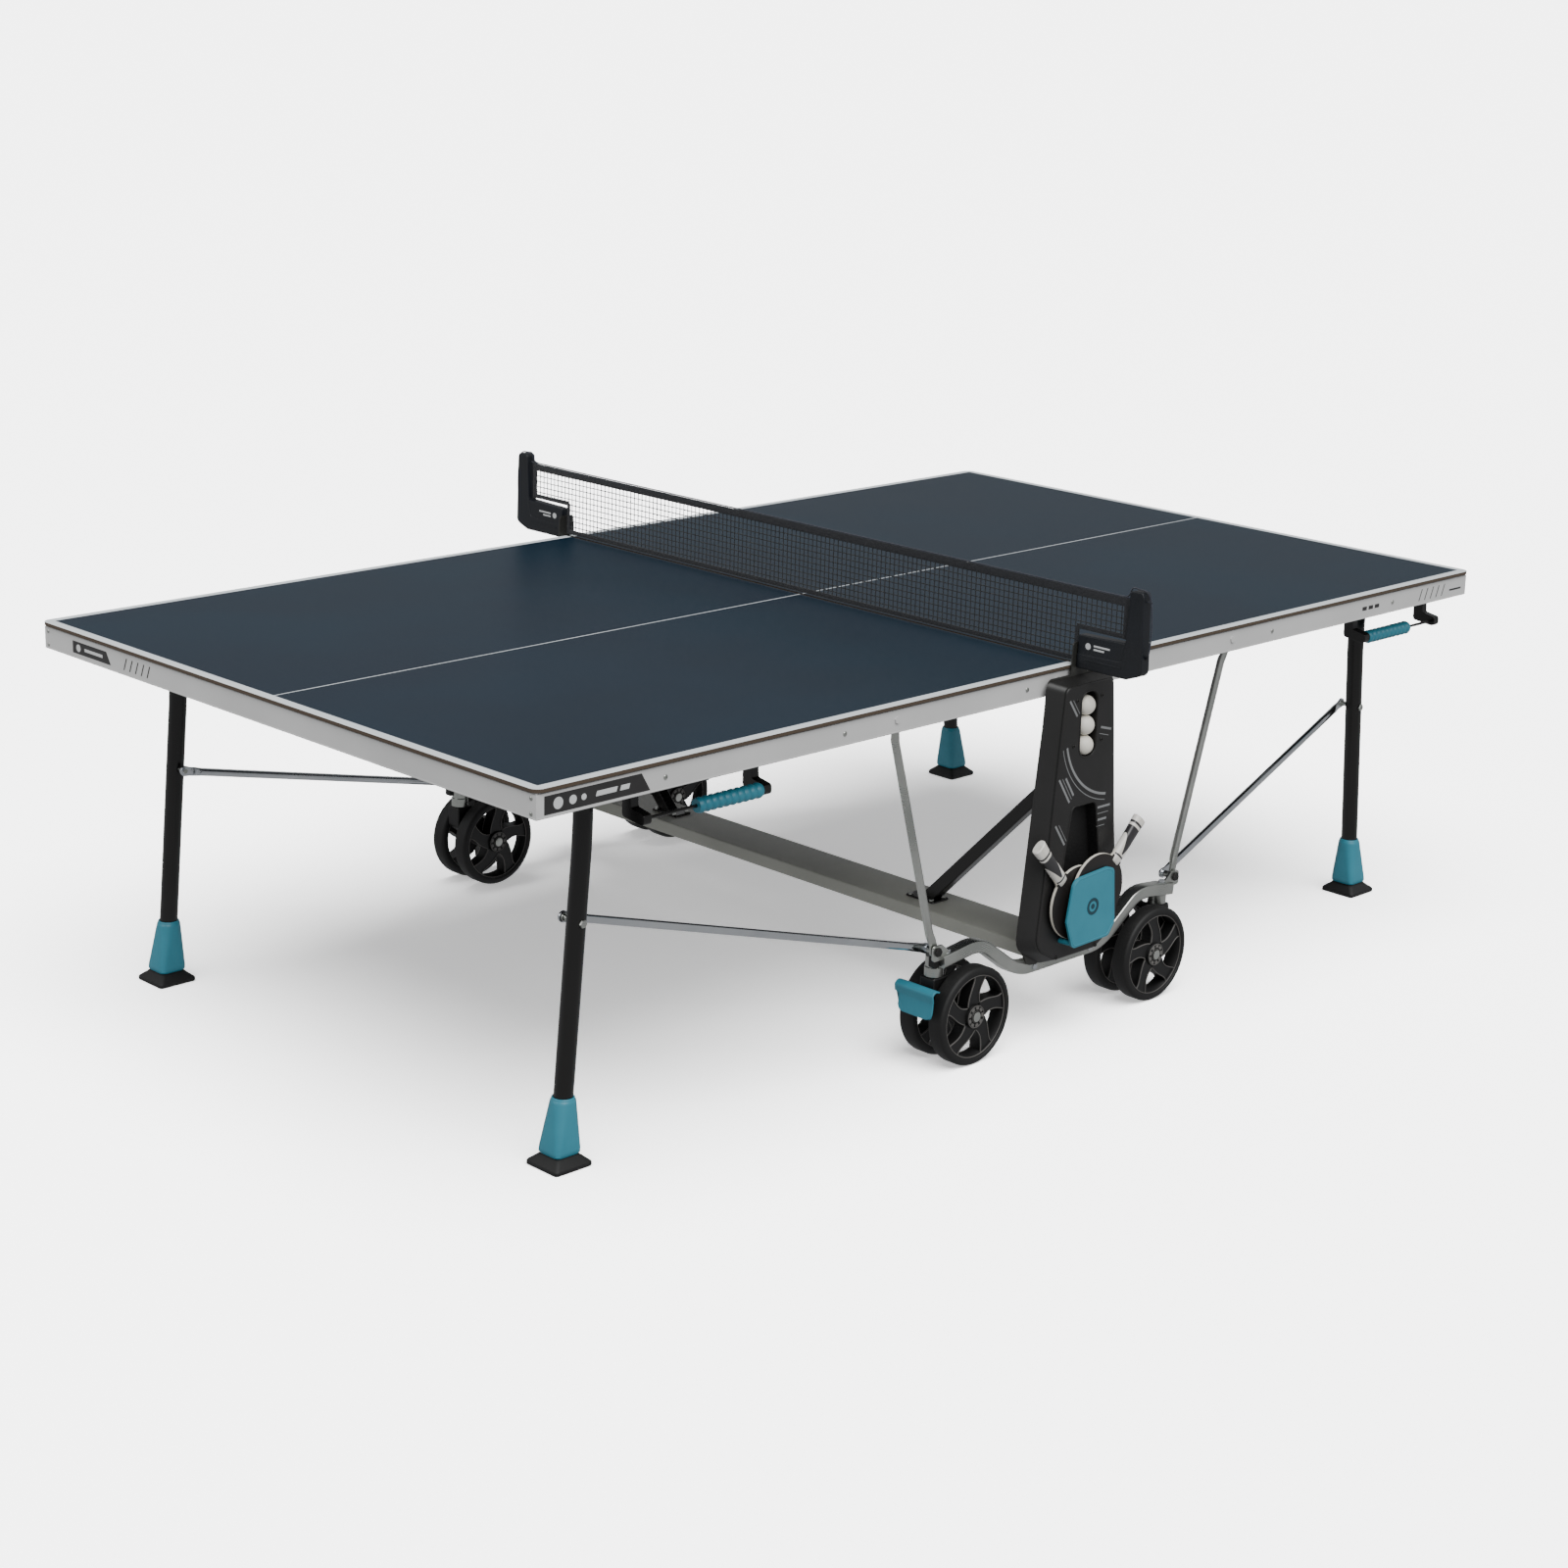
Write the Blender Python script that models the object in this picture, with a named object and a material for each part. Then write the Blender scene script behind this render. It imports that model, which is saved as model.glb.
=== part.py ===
"""Folding ping pong table on casters: two half-tops that fold up to a central chassis.

Metres, +Z up. The origin is on the floor under the centre of the table, +X runs along its length,
-Y is the side with the handles ("near"), +Y is "far", -X is the "left" half and +X the "right" one.
Most places are given for the right half and the far side, and are mirrored by the signs sx and sy.
"""
import bpy
import bmesh
from math import atan2, cos, hypot, pi, radians, sin, sqrt
from mathutils import Vector

# ---- driving dimensions -------------------------------------------------------------------------
GAP = 0.0003                 # between touching pieces
TABLE_LENGTH = 2.740
TABLE_WIDTH = 1.525
TABLE_HEIGHT = 0.760
PANEL_THICK = 0.008
CENTRE_GAP = 0.008           # between the two half-tops
PANEL_CORNER_R = 0.018

APRON_DEPTH = 0.043
APRON_WALL = 0.003
APRON_INSET = 0.005          # panel edge to apron face
APRON_FLANGE = 0.012         # width of the flange that carries the panel
APRON_SEAM = 0.003           # dark line between panel and apron
RAIL_WIDTH = 0.018
RAIL_DEPTH = 0.026
RAIL_SHEET = 0.002
MID_RAIL_X = 0.640

SHAFT_X = 0.050
SHAFT_Z = TABLE_HEIGHT - 0.030
SHAFT_R = 0.006
SHAFT_END_Y = TABLE_WIDTH / 2 + 0.0068
COLLAR_R = 0.0095
FOLDED_SHAFT_X = 0.128
BORE_PLAY = 0.0005

WHEEL_R = 0.100

ARM_PIVOT_X = 0.363          # lower pivot of the strut and of the tie rod
ARM_PIVOT_Z = 2 * WHEEL_R + 0.0445
STRUT_PIVOT_X = 0.503
STRUT_PIVOT_Z = TABLE_HEIGHT - 0.030
STRUT_R = 0.008
STRUT_Y = TABLE_WIDTH / 2 - 0.0205
STRUT_EYE_Y = TABLE_WIDTH / 2 - 0.0155
EYE_THICK = 0.005
EYE_R = 0.012
PIN_R = 0.005
STRUT_FLAT = 0.045

LEG_Y = TABLE_WIDTH / 2 - 0.1395
LEG_R = 0.018
LEG_TOP_X = TABLE_LENGTH / 2 - 0.223
LEG_FOOT_X = TABLE_LENGTH / 2 - 0.182
LEG_KNEE_Z = TABLE_HEIGHT - 0.150
LEG_BAR_Z = TABLE_HEIGHT - 0.045
LEG_BEND_R = 0.060
LEG_PIVOT_X = LEG_TOP_X - LEG_R - 0.013
LEG_PIVOT_Z = TABLE_HEIGHT - 0.045
LEG_LUG_Y = LEG_Y - 0.100
LUG_THICK = 0.006
LEG_RAIL_X = LEG_PIVOT_X - 0.038

TIE_R = 0.008
TIE_LOW_Y = TABLE_WIDTH / 2 - 0.0370
TIE_TOP_Y = LEG_Y - 0.035
TIE_Z_ON_LEG = 0.4495
TIE_FLAT = 0.030             # length of the pressed-flat end

FOOT_SIZE = 0.087
FOOT_HEIGHT = 0.024
FOOT_CORNER_R = 0.014
BOOT_BOTTOM = 2 * LEG_R + 0.022
BOOT_TOP = 2 * LEG_R + 0.011
BOOT_TOP_Z = 0.125
BOOT_SOCKET = 0.015

BEAM_WIDTH = 0.120
BEAM_DEPTH = 0.028
BEAM_TOP_Z = 0.183
SHEET = 0.0025
WHEEL_ARM_OUT_Y = TABLE_WIDTH / 2 + 0.0025
WHEEL_ARM_WIDTH = 0.030
WHEEL_ARM_DEPTH = 0.025
WHEEL_ARM_END_X = 0.351

BRACE_SIZE = 0.027
BRACE_FOOT_Y = TABLE_WIDTH / 2 - 0.3625
BRACE_TOP_Z = TABLE_HEIGHT - 0.205

GUIDE_Y = TABLE_WIDTH / 2 + 0.0030
GUIDE_THICK = 0.003
SHROUD_BACK_Y = GUIDE_Y + 0.0045
SHROUD_FRONT_Y = SHROUD_BACK_Y + 0.030
SHROUD_WALL = 0.003
SHROUD_TOP_Z = TABLE_HEIGHT - 0.023
SHROUD_LOW_Z = 0.1585

WHEEL_WIDTH = 0.038
CASTER_X = 0.342
CASTER_Y = WHEEL_ARM_OUT_Y - 0.035
CASTER_TRAIL = 0.065
FORK_WIDTH = 0.037
FORK_TOP_Z = 2 * WHEEL_R - 0.0145
STEM_R = 0.008
SOCKET_R = 0.019
AXLE_R = 0.006
WHEEL_PLAY = 0.001
SPOKES = 5

NET_TOP_Z = TABLE_HEIGHT + 0.1495
NET_THICK = 0.003
NET_END_Y = TABLE_WIDTH / 2 + 0.1240
POST_INNER_Y = TABLE_WIDTH / 2 + 0.0065
POST_OUTER_Y = TABLE_WIDTH / 2 + 0.1685
POST_TOP_Z = TABLE_HEIGHT + 0.169
POST_LOW_Z = TABLE_HEIGHT - 0.0065
POST_THICK = 0.024
CORD_R = 0.0015

GRIP_R = 0.0148
GRIP_LENGTH = 0.156
GRIP_RIBS = 10
HANDLE_SPAN = {"left": (TABLE_LENGTH / 2 - 0.585, TABLE_LENGTH / 2 - 0.295), "right": (TABLE_LENGTH / 2 - 0.308, TABLE_LENGTH / 2 - 0.038)}
HANDLE_ROD_Y = TABLE_WIDTH / 2 - 0.0625
HANDLE_ROD_Z = TABLE_HEIGHT - 0.122
HANDLE_ROD_R = 0.003
HANDLE_PIVOT_Y = TABLE_WIDTH / 2 - 0.0985
HANDLE_PIVOT_Z = TABLE_HEIGHT - 0.060
HANDLE_ARM_THICK = 0.018

BAT_THICK = 0.010
BAT_BLADE_R = 0.075
BAT_HANDLE_R = 0.0105
HOLDER_Y = SHROUD_FRONT_Y + 0.030
HOLDER_THICK = 0.006

HALVES = (("left", -1), ("right", 1))
SIDES = (("near", -1), ("far", 1))

# ---- sizes that follow from the driving ones -----------------------------------------------------
half_length = TABLE_LENGTH / 2
half_width = TABLE_WIDTH / 2
panel_low_z = TABLE_HEIGHT - PANEL_THICK
apron_top_z = panel_low_z - GAP
apron_low_z = panel_low_z - APRON_SEAM - APRON_DEPTH
apron_face_y = half_width - APRON_INSET
apron_inner_y = apron_face_y - APRON_WALL
apron_outer_x = half_length - APRON_INSET
apron_near_x = CENTRE_GAP / 2 + APRON_INSET
strut_length = hypot(STRUT_PIVOT_X - ARM_PIVOT_X, STRUT_PIVOT_Z - ARM_PIVOT_Z)
# height of the guide shaft with the half folded: the strut keeps its length
folded_shaft_z = (ARM_PIVOT_Z + sqrt(strut_length ** 2 - (ARM_PIVOT_X - FOLDED_SHAFT_X) ** 2)
                  - (STRUT_PIVOT_X - SHAFT_X))
leg_slope = (LEG_FOOT_X - LEG_TOP_X) / (LEG_KNEE_Z - BOOT_TOP_Z)
tie_x_on_leg = LEG_TOP_X + leg_slope * (LEG_KNEE_Z - TIE_Z_ON_LEG)
wheel_arm_in_y = WHEEL_ARM_OUT_Y - WHEEL_ARM_WIDTH
axle_x = CASTER_X - CASTER_TRAIL
stem_top_z = FORK_TOP_Z + 0.0205


# ---- materials -----------------------------------------------------------------------------------
def finish(name, colour, roughness, metallic=0.0):
    material = bpy.data.materials.new(name)
    material.use_nodes = True
    shader = material.node_tree.nodes["Principled BSDF"]
    shader.inputs["Base Color"].default_value = (*colour, 1.0)
    shader.inputs["Roughness"].default_value = roughness
    shader.inputs["Metallic"].default_value = metallic
    return material


# ---- mesh helpers ----------------------------------------------------------------------------------
def add_object(name, bm, material=None):
    """Makes an object of a bmesh, with its faces pointing out."""
    bmesh.ops.recalc_face_normals(bm, faces=bm.faces)
    mesh = bpy.data.meshes.new(name)
    bm.to_mesh(mesh)
    bm.free()
    item = bpy.data.objects.new(name, mesh)
    bpy.context.collection.objects.link(item)
    if material:
        mesh.materials.append(material)
    return item


def rounded(points, steps=3):
    """Closed outline of (u, v, radius) corners, each round corner as an arc of the given steps."""
    outline = []
    count = len(points)
    for i, (u, v, radius) in enumerate(points):
        corner = Vector((u, v))
        if radius == 0:
            outline.append(corner)
            continue
        before = (Vector(points[i - 1][:2]) - corner).normalized()
        after = (Vector(points[(i + 1) % count][:2]) - corner).normalized()
        half = before.angle(after) / 2
        centre = corner + (before + after).normalized() * (radius / sin(half))
        start = corner + before * (radius * cos(half) / sin(half)) - centre
        turn = (pi - 2 * half) * (1 if before.cross(after) < 0 else -1)
        for k in range(steps + 1):
            angle = turn * k / steps
            outline.append(centre + Vector((start.x * cos(angle) - start.y * sin(angle),
                                            start.x * sin(angle) + start.y * cos(angle))))
    return outline


def mirrored(right_side, steps=3):
    """Outline symmetric about u = 0 from its right side's corners, listed from top to bottom."""
    left_side = [(-u, v, radius) for u, v, radius in reversed(right_side)]
    return rounded(right_side + left_side, steps)


def loft(name, rings, material=None):
    """Skin over rings of as many points each, with both ends capped."""
    bm = bmesh.new()
    loops = [[bm.verts.new(point) for point in ring] for ring in rings]
    for a, b in zip(loops, loops[1:]):
        for i in range(len(a)):
            j = (i + 1) % len(a)
            bm.faces.new((a[i], a[j], b[j], b[i]))
    bm.faces.new(loops[0])
    bm.faces.new(loops[-1])
    return add_object(name, bm, material)


def slab(name, outline, low, high, axis="y", material=None):
    """Extrudes an outline along an axis. Its (u, v) are (x, z) for y, (x, y) for z and (y, z) for x."""
    place = {"y": lambda p, t: (p[0], t, p[1]),
             "z": lambda p, t: (p[0], p[1], t),
             "x": lambda p, t: (t, p[0], p[1])}[axis]
    return loft(name, [[place(p, t) for p in outline] for t in sorted((low, high))], material)


def block(name, low, high, material=None):
    """Box between two opposite corners, in any order."""
    x, y, z = (sorted(pair) for pair in zip(low, high))
    return slab(name, [(x[0], y[0]), (x[1], y[0]), (x[1], y[1]), (x[0], y[1])], *z, "z", material)


def rod(name, start, end, radius, steps=10, material=None):
    """Round bar between two points."""
    start, end = Vector(start), Vector(end)
    along = (end - start).normalized()
    side = along.orthogonal().normalized()
    other = along.cross(side)
    rings = []
    for centre in (start, end):
        rings.append([centre + (side * cos(2 * pi * k / steps) + other * sin(2 * pi * k / steps)) * radius
                      for k in range(steps)])
    return loft(name, rings, material)


def turned(name, profile, centre, steps, material=None):
    """Solid of revolution about an axis along Y: a closed profile of (distance along Y, radius)."""
    bm = bmesh.new()
    loops = []
    for k in range(steps):
        angle = 2 * pi * k / steps
        loops.append([bm.verts.new((centre[0] + r * cos(angle), centre[1] + t, centre[2] + r * sin(angle)))
                      for t, r in profile])
    for k in range(steps):
        a, b = loops[k], loops[(k + 1) % steps]
        for i in range(len(profile)):
            j = (i + 1) % len(profile)
            bm.faces.new((a[i], a[j], b[j], b[i]))
    return add_object(name, bm, material)


def boolean(target, tools, operation):
    """Joins the tools to the target, or cuts it with them, and removes them."""
    for tool in tools:
        modifier = target.modifiers.new(operation.lower(), "BOOLEAN")
        modifier.operation = operation
        modifier.object = tool
        modifier.solver = "EXACT"
    evaluated = target.evaluated_get(bpy.context.evaluated_depsgraph_get())
    mesh = bpy.data.meshes.new_from_object(evaluated)
    target.modifiers.clear()
    target.data = mesh
    for tool in tools:
        bpy.data.objects.remove(tool)
    return target


def join(target, *tools):
    return boolean(target, tools, "UNION")


def cut(target, *tools):
    return boolean(target, tools, "DIFFERENCE")


def set_origin(item, point):
    """Puts the object's origin at a point, on its joint's axis, and leaves its shape in place."""
    point = Vector(point)
    for vertex in item.data.vertices:
        vertex.co -= point
    item.location = point
    return item


def smooth(item, angle=35):
    item.data.shade_smooth()
    item.data.set_sharp_from_angle(angle=radians(angle))
    return item


def pin_y(x, y0, y1, z, radius, steps=8, name="pin"):
    return rod(name, (x, y0, z), (x, y1, z), radius, steps)


# ---- half-tops -------------------------------------------------------------------------------------
def make_panel(half, sx, material):
    """Playing surface: a flat board with round corners at its outer end."""
    inner_r = 0.004
    corners = [(CENTRE_GAP / 2, half_width, inner_r), (half_length, half_width, PANEL_CORNER_R),
               (half_length, -half_width, PANEL_CORNER_R), (CENTRE_GAP / 2, -half_width, inner_r)]
    outline = [(sx * u, v) for u, v in rounded(corners)]
    panel = slab(f"{half}_panel", outline, panel_low_z, TABLE_HEIGHT, "z", material)
    return set_origin(panel, (sx * SHAFT_X, 0, SHAFT_Z))


def rect_ring(name, x0, x1, y, wall, z0, z1):
    """Rectangular wall, symmetric in y, open above and below."""
    outer = block(name, (x0, -y, z0), (x1, y, z1))
    step_x = wall if x1 > x0 else -wall
    margin = 0.01
    return cut(outer, block("inside", (x0 + step_x, -y + wall, z0 - margin), (x1 - step_x, y - wall, z1 + margin)))


def make_apron(half, sx, material):
    """Steel frame under the panel: walls, a flange that carries the panel, three cross rails."""
    x0, x1 = sx * apron_near_x, sx * apron_outer_x
    wall_top = apron_low_z + APRON_DEPTH
    apron = rect_ring(f"{half}_apron", x0, x1, apron_face_y, APRON_WALL, apron_low_z, wall_top)
    setback = sx * APRON_WALL * 0.6
    flange = rect_ring("flange", x0 + setback, x1 - setback, apron_face_y - abs(setback), APRON_FLANGE,
                       wall_top - APRON_WALL / 2, apron_top_z)
    rails = []
    for rail_x in (MID_RAIL_X, LEG_RAIL_X):
        w, low = RAIL_WIDTH / 2, apron_top_z - RAIL_DEPTH
        section = [(-w, low), (-w + RAIL_SHEET, low), (-w + RAIL_SHEET, apron_top_z - RAIL_SHEET),
                   (w - RAIL_SHEET, apron_top_z - RAIL_SHEET), (w - RAIL_SHEET, low), (w, low),
                   (w, apron_top_z), (-w, apron_top_z)]
        reach = apron_inner_y + APRON_WALL / 2
        rails.append(slab("rail", [(sx * (rail_x + u), v) for u, v in section], -reach, reach))
    join(apron, flange, *rails)
    extras = []
    holes = []
    for _, sy in SIDES:
        # bearing hole for the guide shaft, with a boss inside the wall
        extras.append(pin_y(sx * SHAFT_X, sy * (apron_inner_y - 0.006), sy * (apron_inner_y + APRON_WALL / 2),
                            SHAFT_Z, SHAFT_R + 0.005))
        holes.append(pin_y(sx * SHAFT_X, sy * (apron_inner_y - 0.05), sy * (apron_inner_y + 0.04), SHAFT_Z, SHAFT_R + BORE_PLAY))
        # bolt of the strut: head outside, spacer inside, retaining head beyond the eye
        eye_out = STRUT_EYE_Y + EYE_THICK / 2
        eye_in = STRUT_EYE_Y - EYE_THICK / 2
        extras.append(pin_y(sx * STRUT_PIVOT_X, sy * (eye_in - 0.001), sy * (apron_face_y + 0.003),
                            STRUT_PIVOT_Z, PIN_R))
        extras.append(pin_y(sx * STRUT_PIVOT_X, sy * (apron_face_y - 0.001), sy * (apron_face_y + 0.003),
                            STRUT_PIVOT_Z, PIN_R + 0.002, 6))
        extras.append(pin_y(sx * STRUT_PIVOT_X, sy * (eye_out + GAP), sy * (apron_inner_y + 0.001),
                            STRUT_PIVOT_Z, PIN_R + 0.003))
        extras.append(pin_y(sx * STRUT_PIVOT_X, sy * (eye_in - 0.004), sy * (eye_in - GAP),
                            STRUT_PIVOT_Z, PIN_R + 0.003))
        # hinge bracket of the leg frame, hanging from the leg rail
        bracket_y = LEG_LUG_Y + LUG_THICK / 2 + 0.001
        low_z = LEG_PIVOT_Z - 0.010
        arm = rounded([(sx * (LEG_RAIL_X - RAIL_WIDTH / 2), apron_top_z, 0), (sx * (LEG_RAIL_X - RAIL_WIDTH / 2), low_z, 0),
                       (sx * (LEG_PIVOT_X + 0.010), low_z, 0.009), (sx * (LEG_PIVOT_X + 0.010), apron_top_z, 0)], 3)
        extras.append(slab("bracket", arm, sy * bracket_y, sy * (bracket_y + LUG_THICK)))
        holes.append(pin_y(sx * LEG_PIVOT_X, sy * (bracket_y - 0.01), sy * (bracket_y + LUG_THICK + 0.01),
                           LEG_PIVOT_Z, PIN_R + BORE_PLAY))
    for end_x in handle_tab_places(half):
        # tab that carries one end of the handle's shaft
        tab = rounded([(-apron_inner_y - APRON_WALL / 2, HANDLE_PIVOT_Z + 0.016, 0),
                       (-apron_inner_y - APRON_WALL / 2, HANDLE_PIVOT_Z + 0.006, 0),
                       (-HANDLE_PIVOT_Y + 0.009, HANDLE_PIVOT_Z - 0.009, 0.008),
                       (-HANDLE_PIVOT_Y + 0.009, HANDLE_PIVOT_Z + 0.016, 0.008)], 3)
        extras.append(slab("tab", tab, sx * (end_x - 0.002), sx * (end_x + 0.002), "x"))
        holes.append(rod("hole", (sx * (end_x - 0.01), -HANDLE_PIVOT_Y, HANDLE_PIVOT_Z),
                         (sx * (end_x + 0.01), -HANDLE_PIVOT_Y, HANDLE_PIVOT_Z), PIN_R + BORE_PLAY))
    join(apron, *extras)
    cut(apron, *holes)
    apron.data.materials.clear()
    apron.data.materials.append(material)
    return set_origin(apron, (sx * SHAFT_X, 0, SHAFT_Z))


def make_guide_shaft(half, sx, material):
    """Shaft across the half, held at both ends in the guide plates' slots."""
    shaft = pin_y(sx * SHAFT_X, -SHAFT_END_Y, SHAFT_END_Y, SHAFT_Z, SHAFT_R, 10, f"{half}_guide_shaft")
    collars = [pin_y(sx * SHAFT_X, sy * (apron_face_y + 0.0005), sy * (GUIDE_Y - 0.0005), SHAFT_Z, COLLAR_R, 12)
               for _, sy in SIDES]
    join(shaft, *collars)
    shaft.data.materials.append(material)
    return smooth(set_origin(shaft, (sx * SHAFT_X, 0, SHAFT_Z)))


def make_strut(half, side, sx, sy, material):
    """Strut from the apron down to the wheel arm, with a flattened eye at each end."""
    top = Vector((sx * STRUT_PIVOT_X, 0, STRUT_PIVOT_Z))
    low = Vector((sx * ARM_PIVOT_X, 0, ARM_PIVOT_Z))
    along = (low - top).normalized()

    def at(point, y):
        return Vector((point.x, sy * y, point.z))

    tube_start = top + along * (STRUT_FLAT - 0.010)
    tube_end = low - along * 0.014
    strut = rod(f"{half}_{side}_strut", at(tube_start, STRUT_Y), at(tube_end, STRUT_Y), STRUT_R, 10)
    across = Vector((-along.z, 0, along.x)) * (STRUT_R + 0.001)
    flats = []
    for start, end in ((top, top + along * STRUT_FLAT), (low - along * 0.030, low)):
        corners = [start + across, end + across, end - across, start - across]
        flats.append(slab("flat", [(p.x, p.z) for p in corners], sy * (STRUT_EYE_Y - EYE_THICK / 2),
                          sy * (STRUT_EYE_Y + EYE_THICK / 2)))
    eyes = [pin_y(p.x, sy * (STRUT_EYE_Y - EYE_THICK / 2), sy * (STRUT_EYE_Y + EYE_THICK / 2), p.z, EYE_R, 12)
            for p in (top, low)]
    boss = pin_y(low.x, sy * (STRUT_EYE_Y - 0.0130), sy * (STRUT_EYE_Y + 0.0057), low.z, PIN_R + 0.002)
    join(strut, *flats, *eyes, boss)
    cut(strut, pin_y(top.x, sy * (STRUT_EYE_Y - 0.05), sy * (STRUT_EYE_Y + 0.04), top.z, PIN_R + BORE_PLAY))
    strut.data.materials.append(material)
    return smooth(set_origin(strut, at(top, STRUT_EYE_Y)))


def make_tie_rod(half, side, sx, sy, material):
    """Rod from the inside of the leg to the wheel arm's end, with an eye at each end."""
    top = Vector((sx * tie_x_on_leg, sy * TIE_TOP_Y, TIE_Z_ON_LEG))
    low = Vector((sx * ARM_PIVOT_X, sy * TIE_LOW_Y, ARM_PIVOT_Z))
    along = (low - top).normalized()
    tie = rod(f"{half}_{side}_tie_rod", top + along * TIE_FLAT, low - along * TIE_FLAT, TIE_R, 10)
    across = Vector((-along.z, 0, along.x)).normalized() * (TIE_R + 0.001)
    thick = Vector((0, EYE_THICK / 2, 0))
    flats = [loft("flat", [[p + across - thick, p + across + thick, p - across + thick, p - across - thick] for p in ends])
             for ends in ((top + along * (PIN_R + 0.0037), top + along * (TIE_FLAT + 0.010)),
                          (low - along * (TIE_FLAT + 0.010), low - along * 0.004))]
    eyes = [pin_y(p.x, p.y - EYE_THICK / 2, p.y + EYE_THICK / 2, p.z, EYE_R - 0.001, 12) for p in (top, low)]
    boss = pin_y(low.x, sy * (TIE_LOW_Y - 0.0060), sy * (TIE_LOW_Y + 0.0078), low.z, PIN_R + 0.002)
    join(tie, *flats, *eyes, boss)
    cut(tie, pin_y(top.x, top.y - 0.03, top.y + 0.03, top.z, PIN_R + BORE_PLAY))
    tie.data.materials.append(material)
    return smooth(set_origin(tie, top))


def leg_path():
    """Centreline of one side of the leg frame, from the foot up to the middle of the cross-bar."""
    socket_z = BOOT_TOP_Z - BOOT_SOCKET
    points = [(LEG_FOOT_X + leg_slope * BOOT_SOCKET, LEG_Y, socket_z),
              (LEG_TOP_X, LEG_Y, LEG_KNEE_Z)]
    steps = 6
    for k in range(steps + 1):
        angle = pi / 2 * k / steps
        points.append((LEG_TOP_X, LEG_Y - LEG_BEND_R * (1 - cos(angle)), LEG_BAR_Z - LEG_BEND_R * (1 - sin(angle))))
    return points


def pipe(name, path, radius, steps, material=None):
    """Round tube along a path of points, with rings square to it."""
    points = [Vector(p) for p in path]
    rings = []
    side = None
    for i, point in enumerate(points):
        along = (points[min(i + 1, len(points) - 1)] - points[max(i - 1, 0)]).normalized()
        side = along.orthogonal() if side is None else side - along * side.dot(along)
        side.normalize()
        other = along.cross(side)
        rings.append([point + (side * cos(2 * pi * k / steps) + other * sin(2 * pi * k / steps)) * radius
                      for k in range(steps)])
    return loft(name, rings, material)


def make_leg_frame(half, sx, material):
    """U of round tube: two legs and a cross-bar, with hinge lugs and the tie rods' bolts."""
    side_path = [Vector((sx * x, y, z)) for x, y, z in leg_path()]
    path = side_path + [Vector((p.x, -p.y, p.z)) for p in reversed(side_path)]
    frame = pipe(f"{half}_leg_frame", path, LEG_R, 12)
    extras = []
    for _, sy in SIDES:
        lug = rounded([(sx * LEG_TOP_X, LEG_BAR_Z + 0.010, 0), (sx * (LEG_PIVOT_X - 0.010), LEG_PIVOT_Z + 0.010, 0.009),
                       (sx * (LEG_PIVOT_X - 0.010), LEG_PIVOT_Z - 0.010, 0.009), (sx * LEG_TOP_X, LEG_BAR_Z - 0.010, 0)], 3)
        extras.append(slab("lug", lug, sy * (LEG_LUG_Y - LUG_THICK / 2), sy * (LEG_LUG_Y + LUG_THICK / 2)))
        extras.append(pin_y(sx * LEG_PIVOT_X, sy * LEG_LUG_Y, sy * (LEG_LUG_Y + LUG_THICK * 2), LEG_PIVOT_Z, PIN_R))
        bolt_x = sx * tie_x_on_leg
        eye_out = TIE_TOP_Y + EYE_THICK / 2 + GAP
        eye_in = TIE_TOP_Y - EYE_THICK / 2 - GAP
        extras.append(pin_y(bolt_x, sy * (eye_in - 0.001), sy * LEG_Y, TIE_Z_ON_LEG, PIN_R))
        extras.append(pin_y(bolt_x, sy * (eye_in - 0.004), sy * eye_in, TIE_Z_ON_LEG, PIN_R + 0.003))
        extras.append(pin_y(bolt_x, sy * eye_out, sy * (LEG_Y - LEG_R / 2), TIE_Z_ON_LEG, PIN_R + 0.003))
        extras.append(pin_y(bolt_x, sy * LEG_Y, sy * (LEG_Y + LEG_R + 0.004), TIE_Z_ON_LEG, PIN_R + 0.002, 6))
    join(frame, *extras)
    frame.data.materials.append(material)
    return smooth(set_origin(frame, (sx * LEG_PIVOT_X, 0, LEG_PIVOT_Z)))


def square(x, y, size, radius):
    h = size / 2
    return rounded([(x - h, y - h, radius), (x - h, y + h, radius), (x + h, y + h, radius), (x + h, y - h, radius)], 3)


def make_boot(half, side, sx, sy, material):
    """Tapered square sleeve over the leg's end, standing on the foot pad."""
    low_z = FOOT_HEIGHT + GAP
    lean = leg_slope * (BOOT_TOP_Z - low_z)
    rings = []
    for t in (0.0, 0.25, 1.0):
        z = low_z + (BOOT_TOP_Z - low_z) * t
        size = BOOT_BOTTOM + (BOOT_TOP - BOOT_BOTTOM) * (t if t else -0.05)
        centre_x = sx * (LEG_FOOT_X + lean * (1 - t))
        rings.append([(u, v, z) for u, v in square(centre_x, sy * LEG_Y, size, 0.010)])
    boot = loft(f"{half}_{side}_boot", rings)
    deep = BOOT_SOCKET + 0.0005
    axis_low = (sx * (LEG_FOOT_X + leg_slope * deep), sy * LEG_Y, BOOT_TOP_Z - deep)
    axis_high = (sx * (LEG_FOOT_X - leg_slope * 0.02), sy * LEG_Y, BOOT_TOP_Z + 0.02)
    cut(boot, rod("socket", axis_low, axis_high, LEG_R + 0.0006, 16))
    boot.data.materials.append(material)
    return set_origin(boot, (sx * LEG_PIVOT_X, 0, LEG_PIVOT_Z))


def foot_x():
    return LEG_FOOT_X + leg_slope * (BOOT_TOP_Z - FOOT_HEIGHT)


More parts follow.
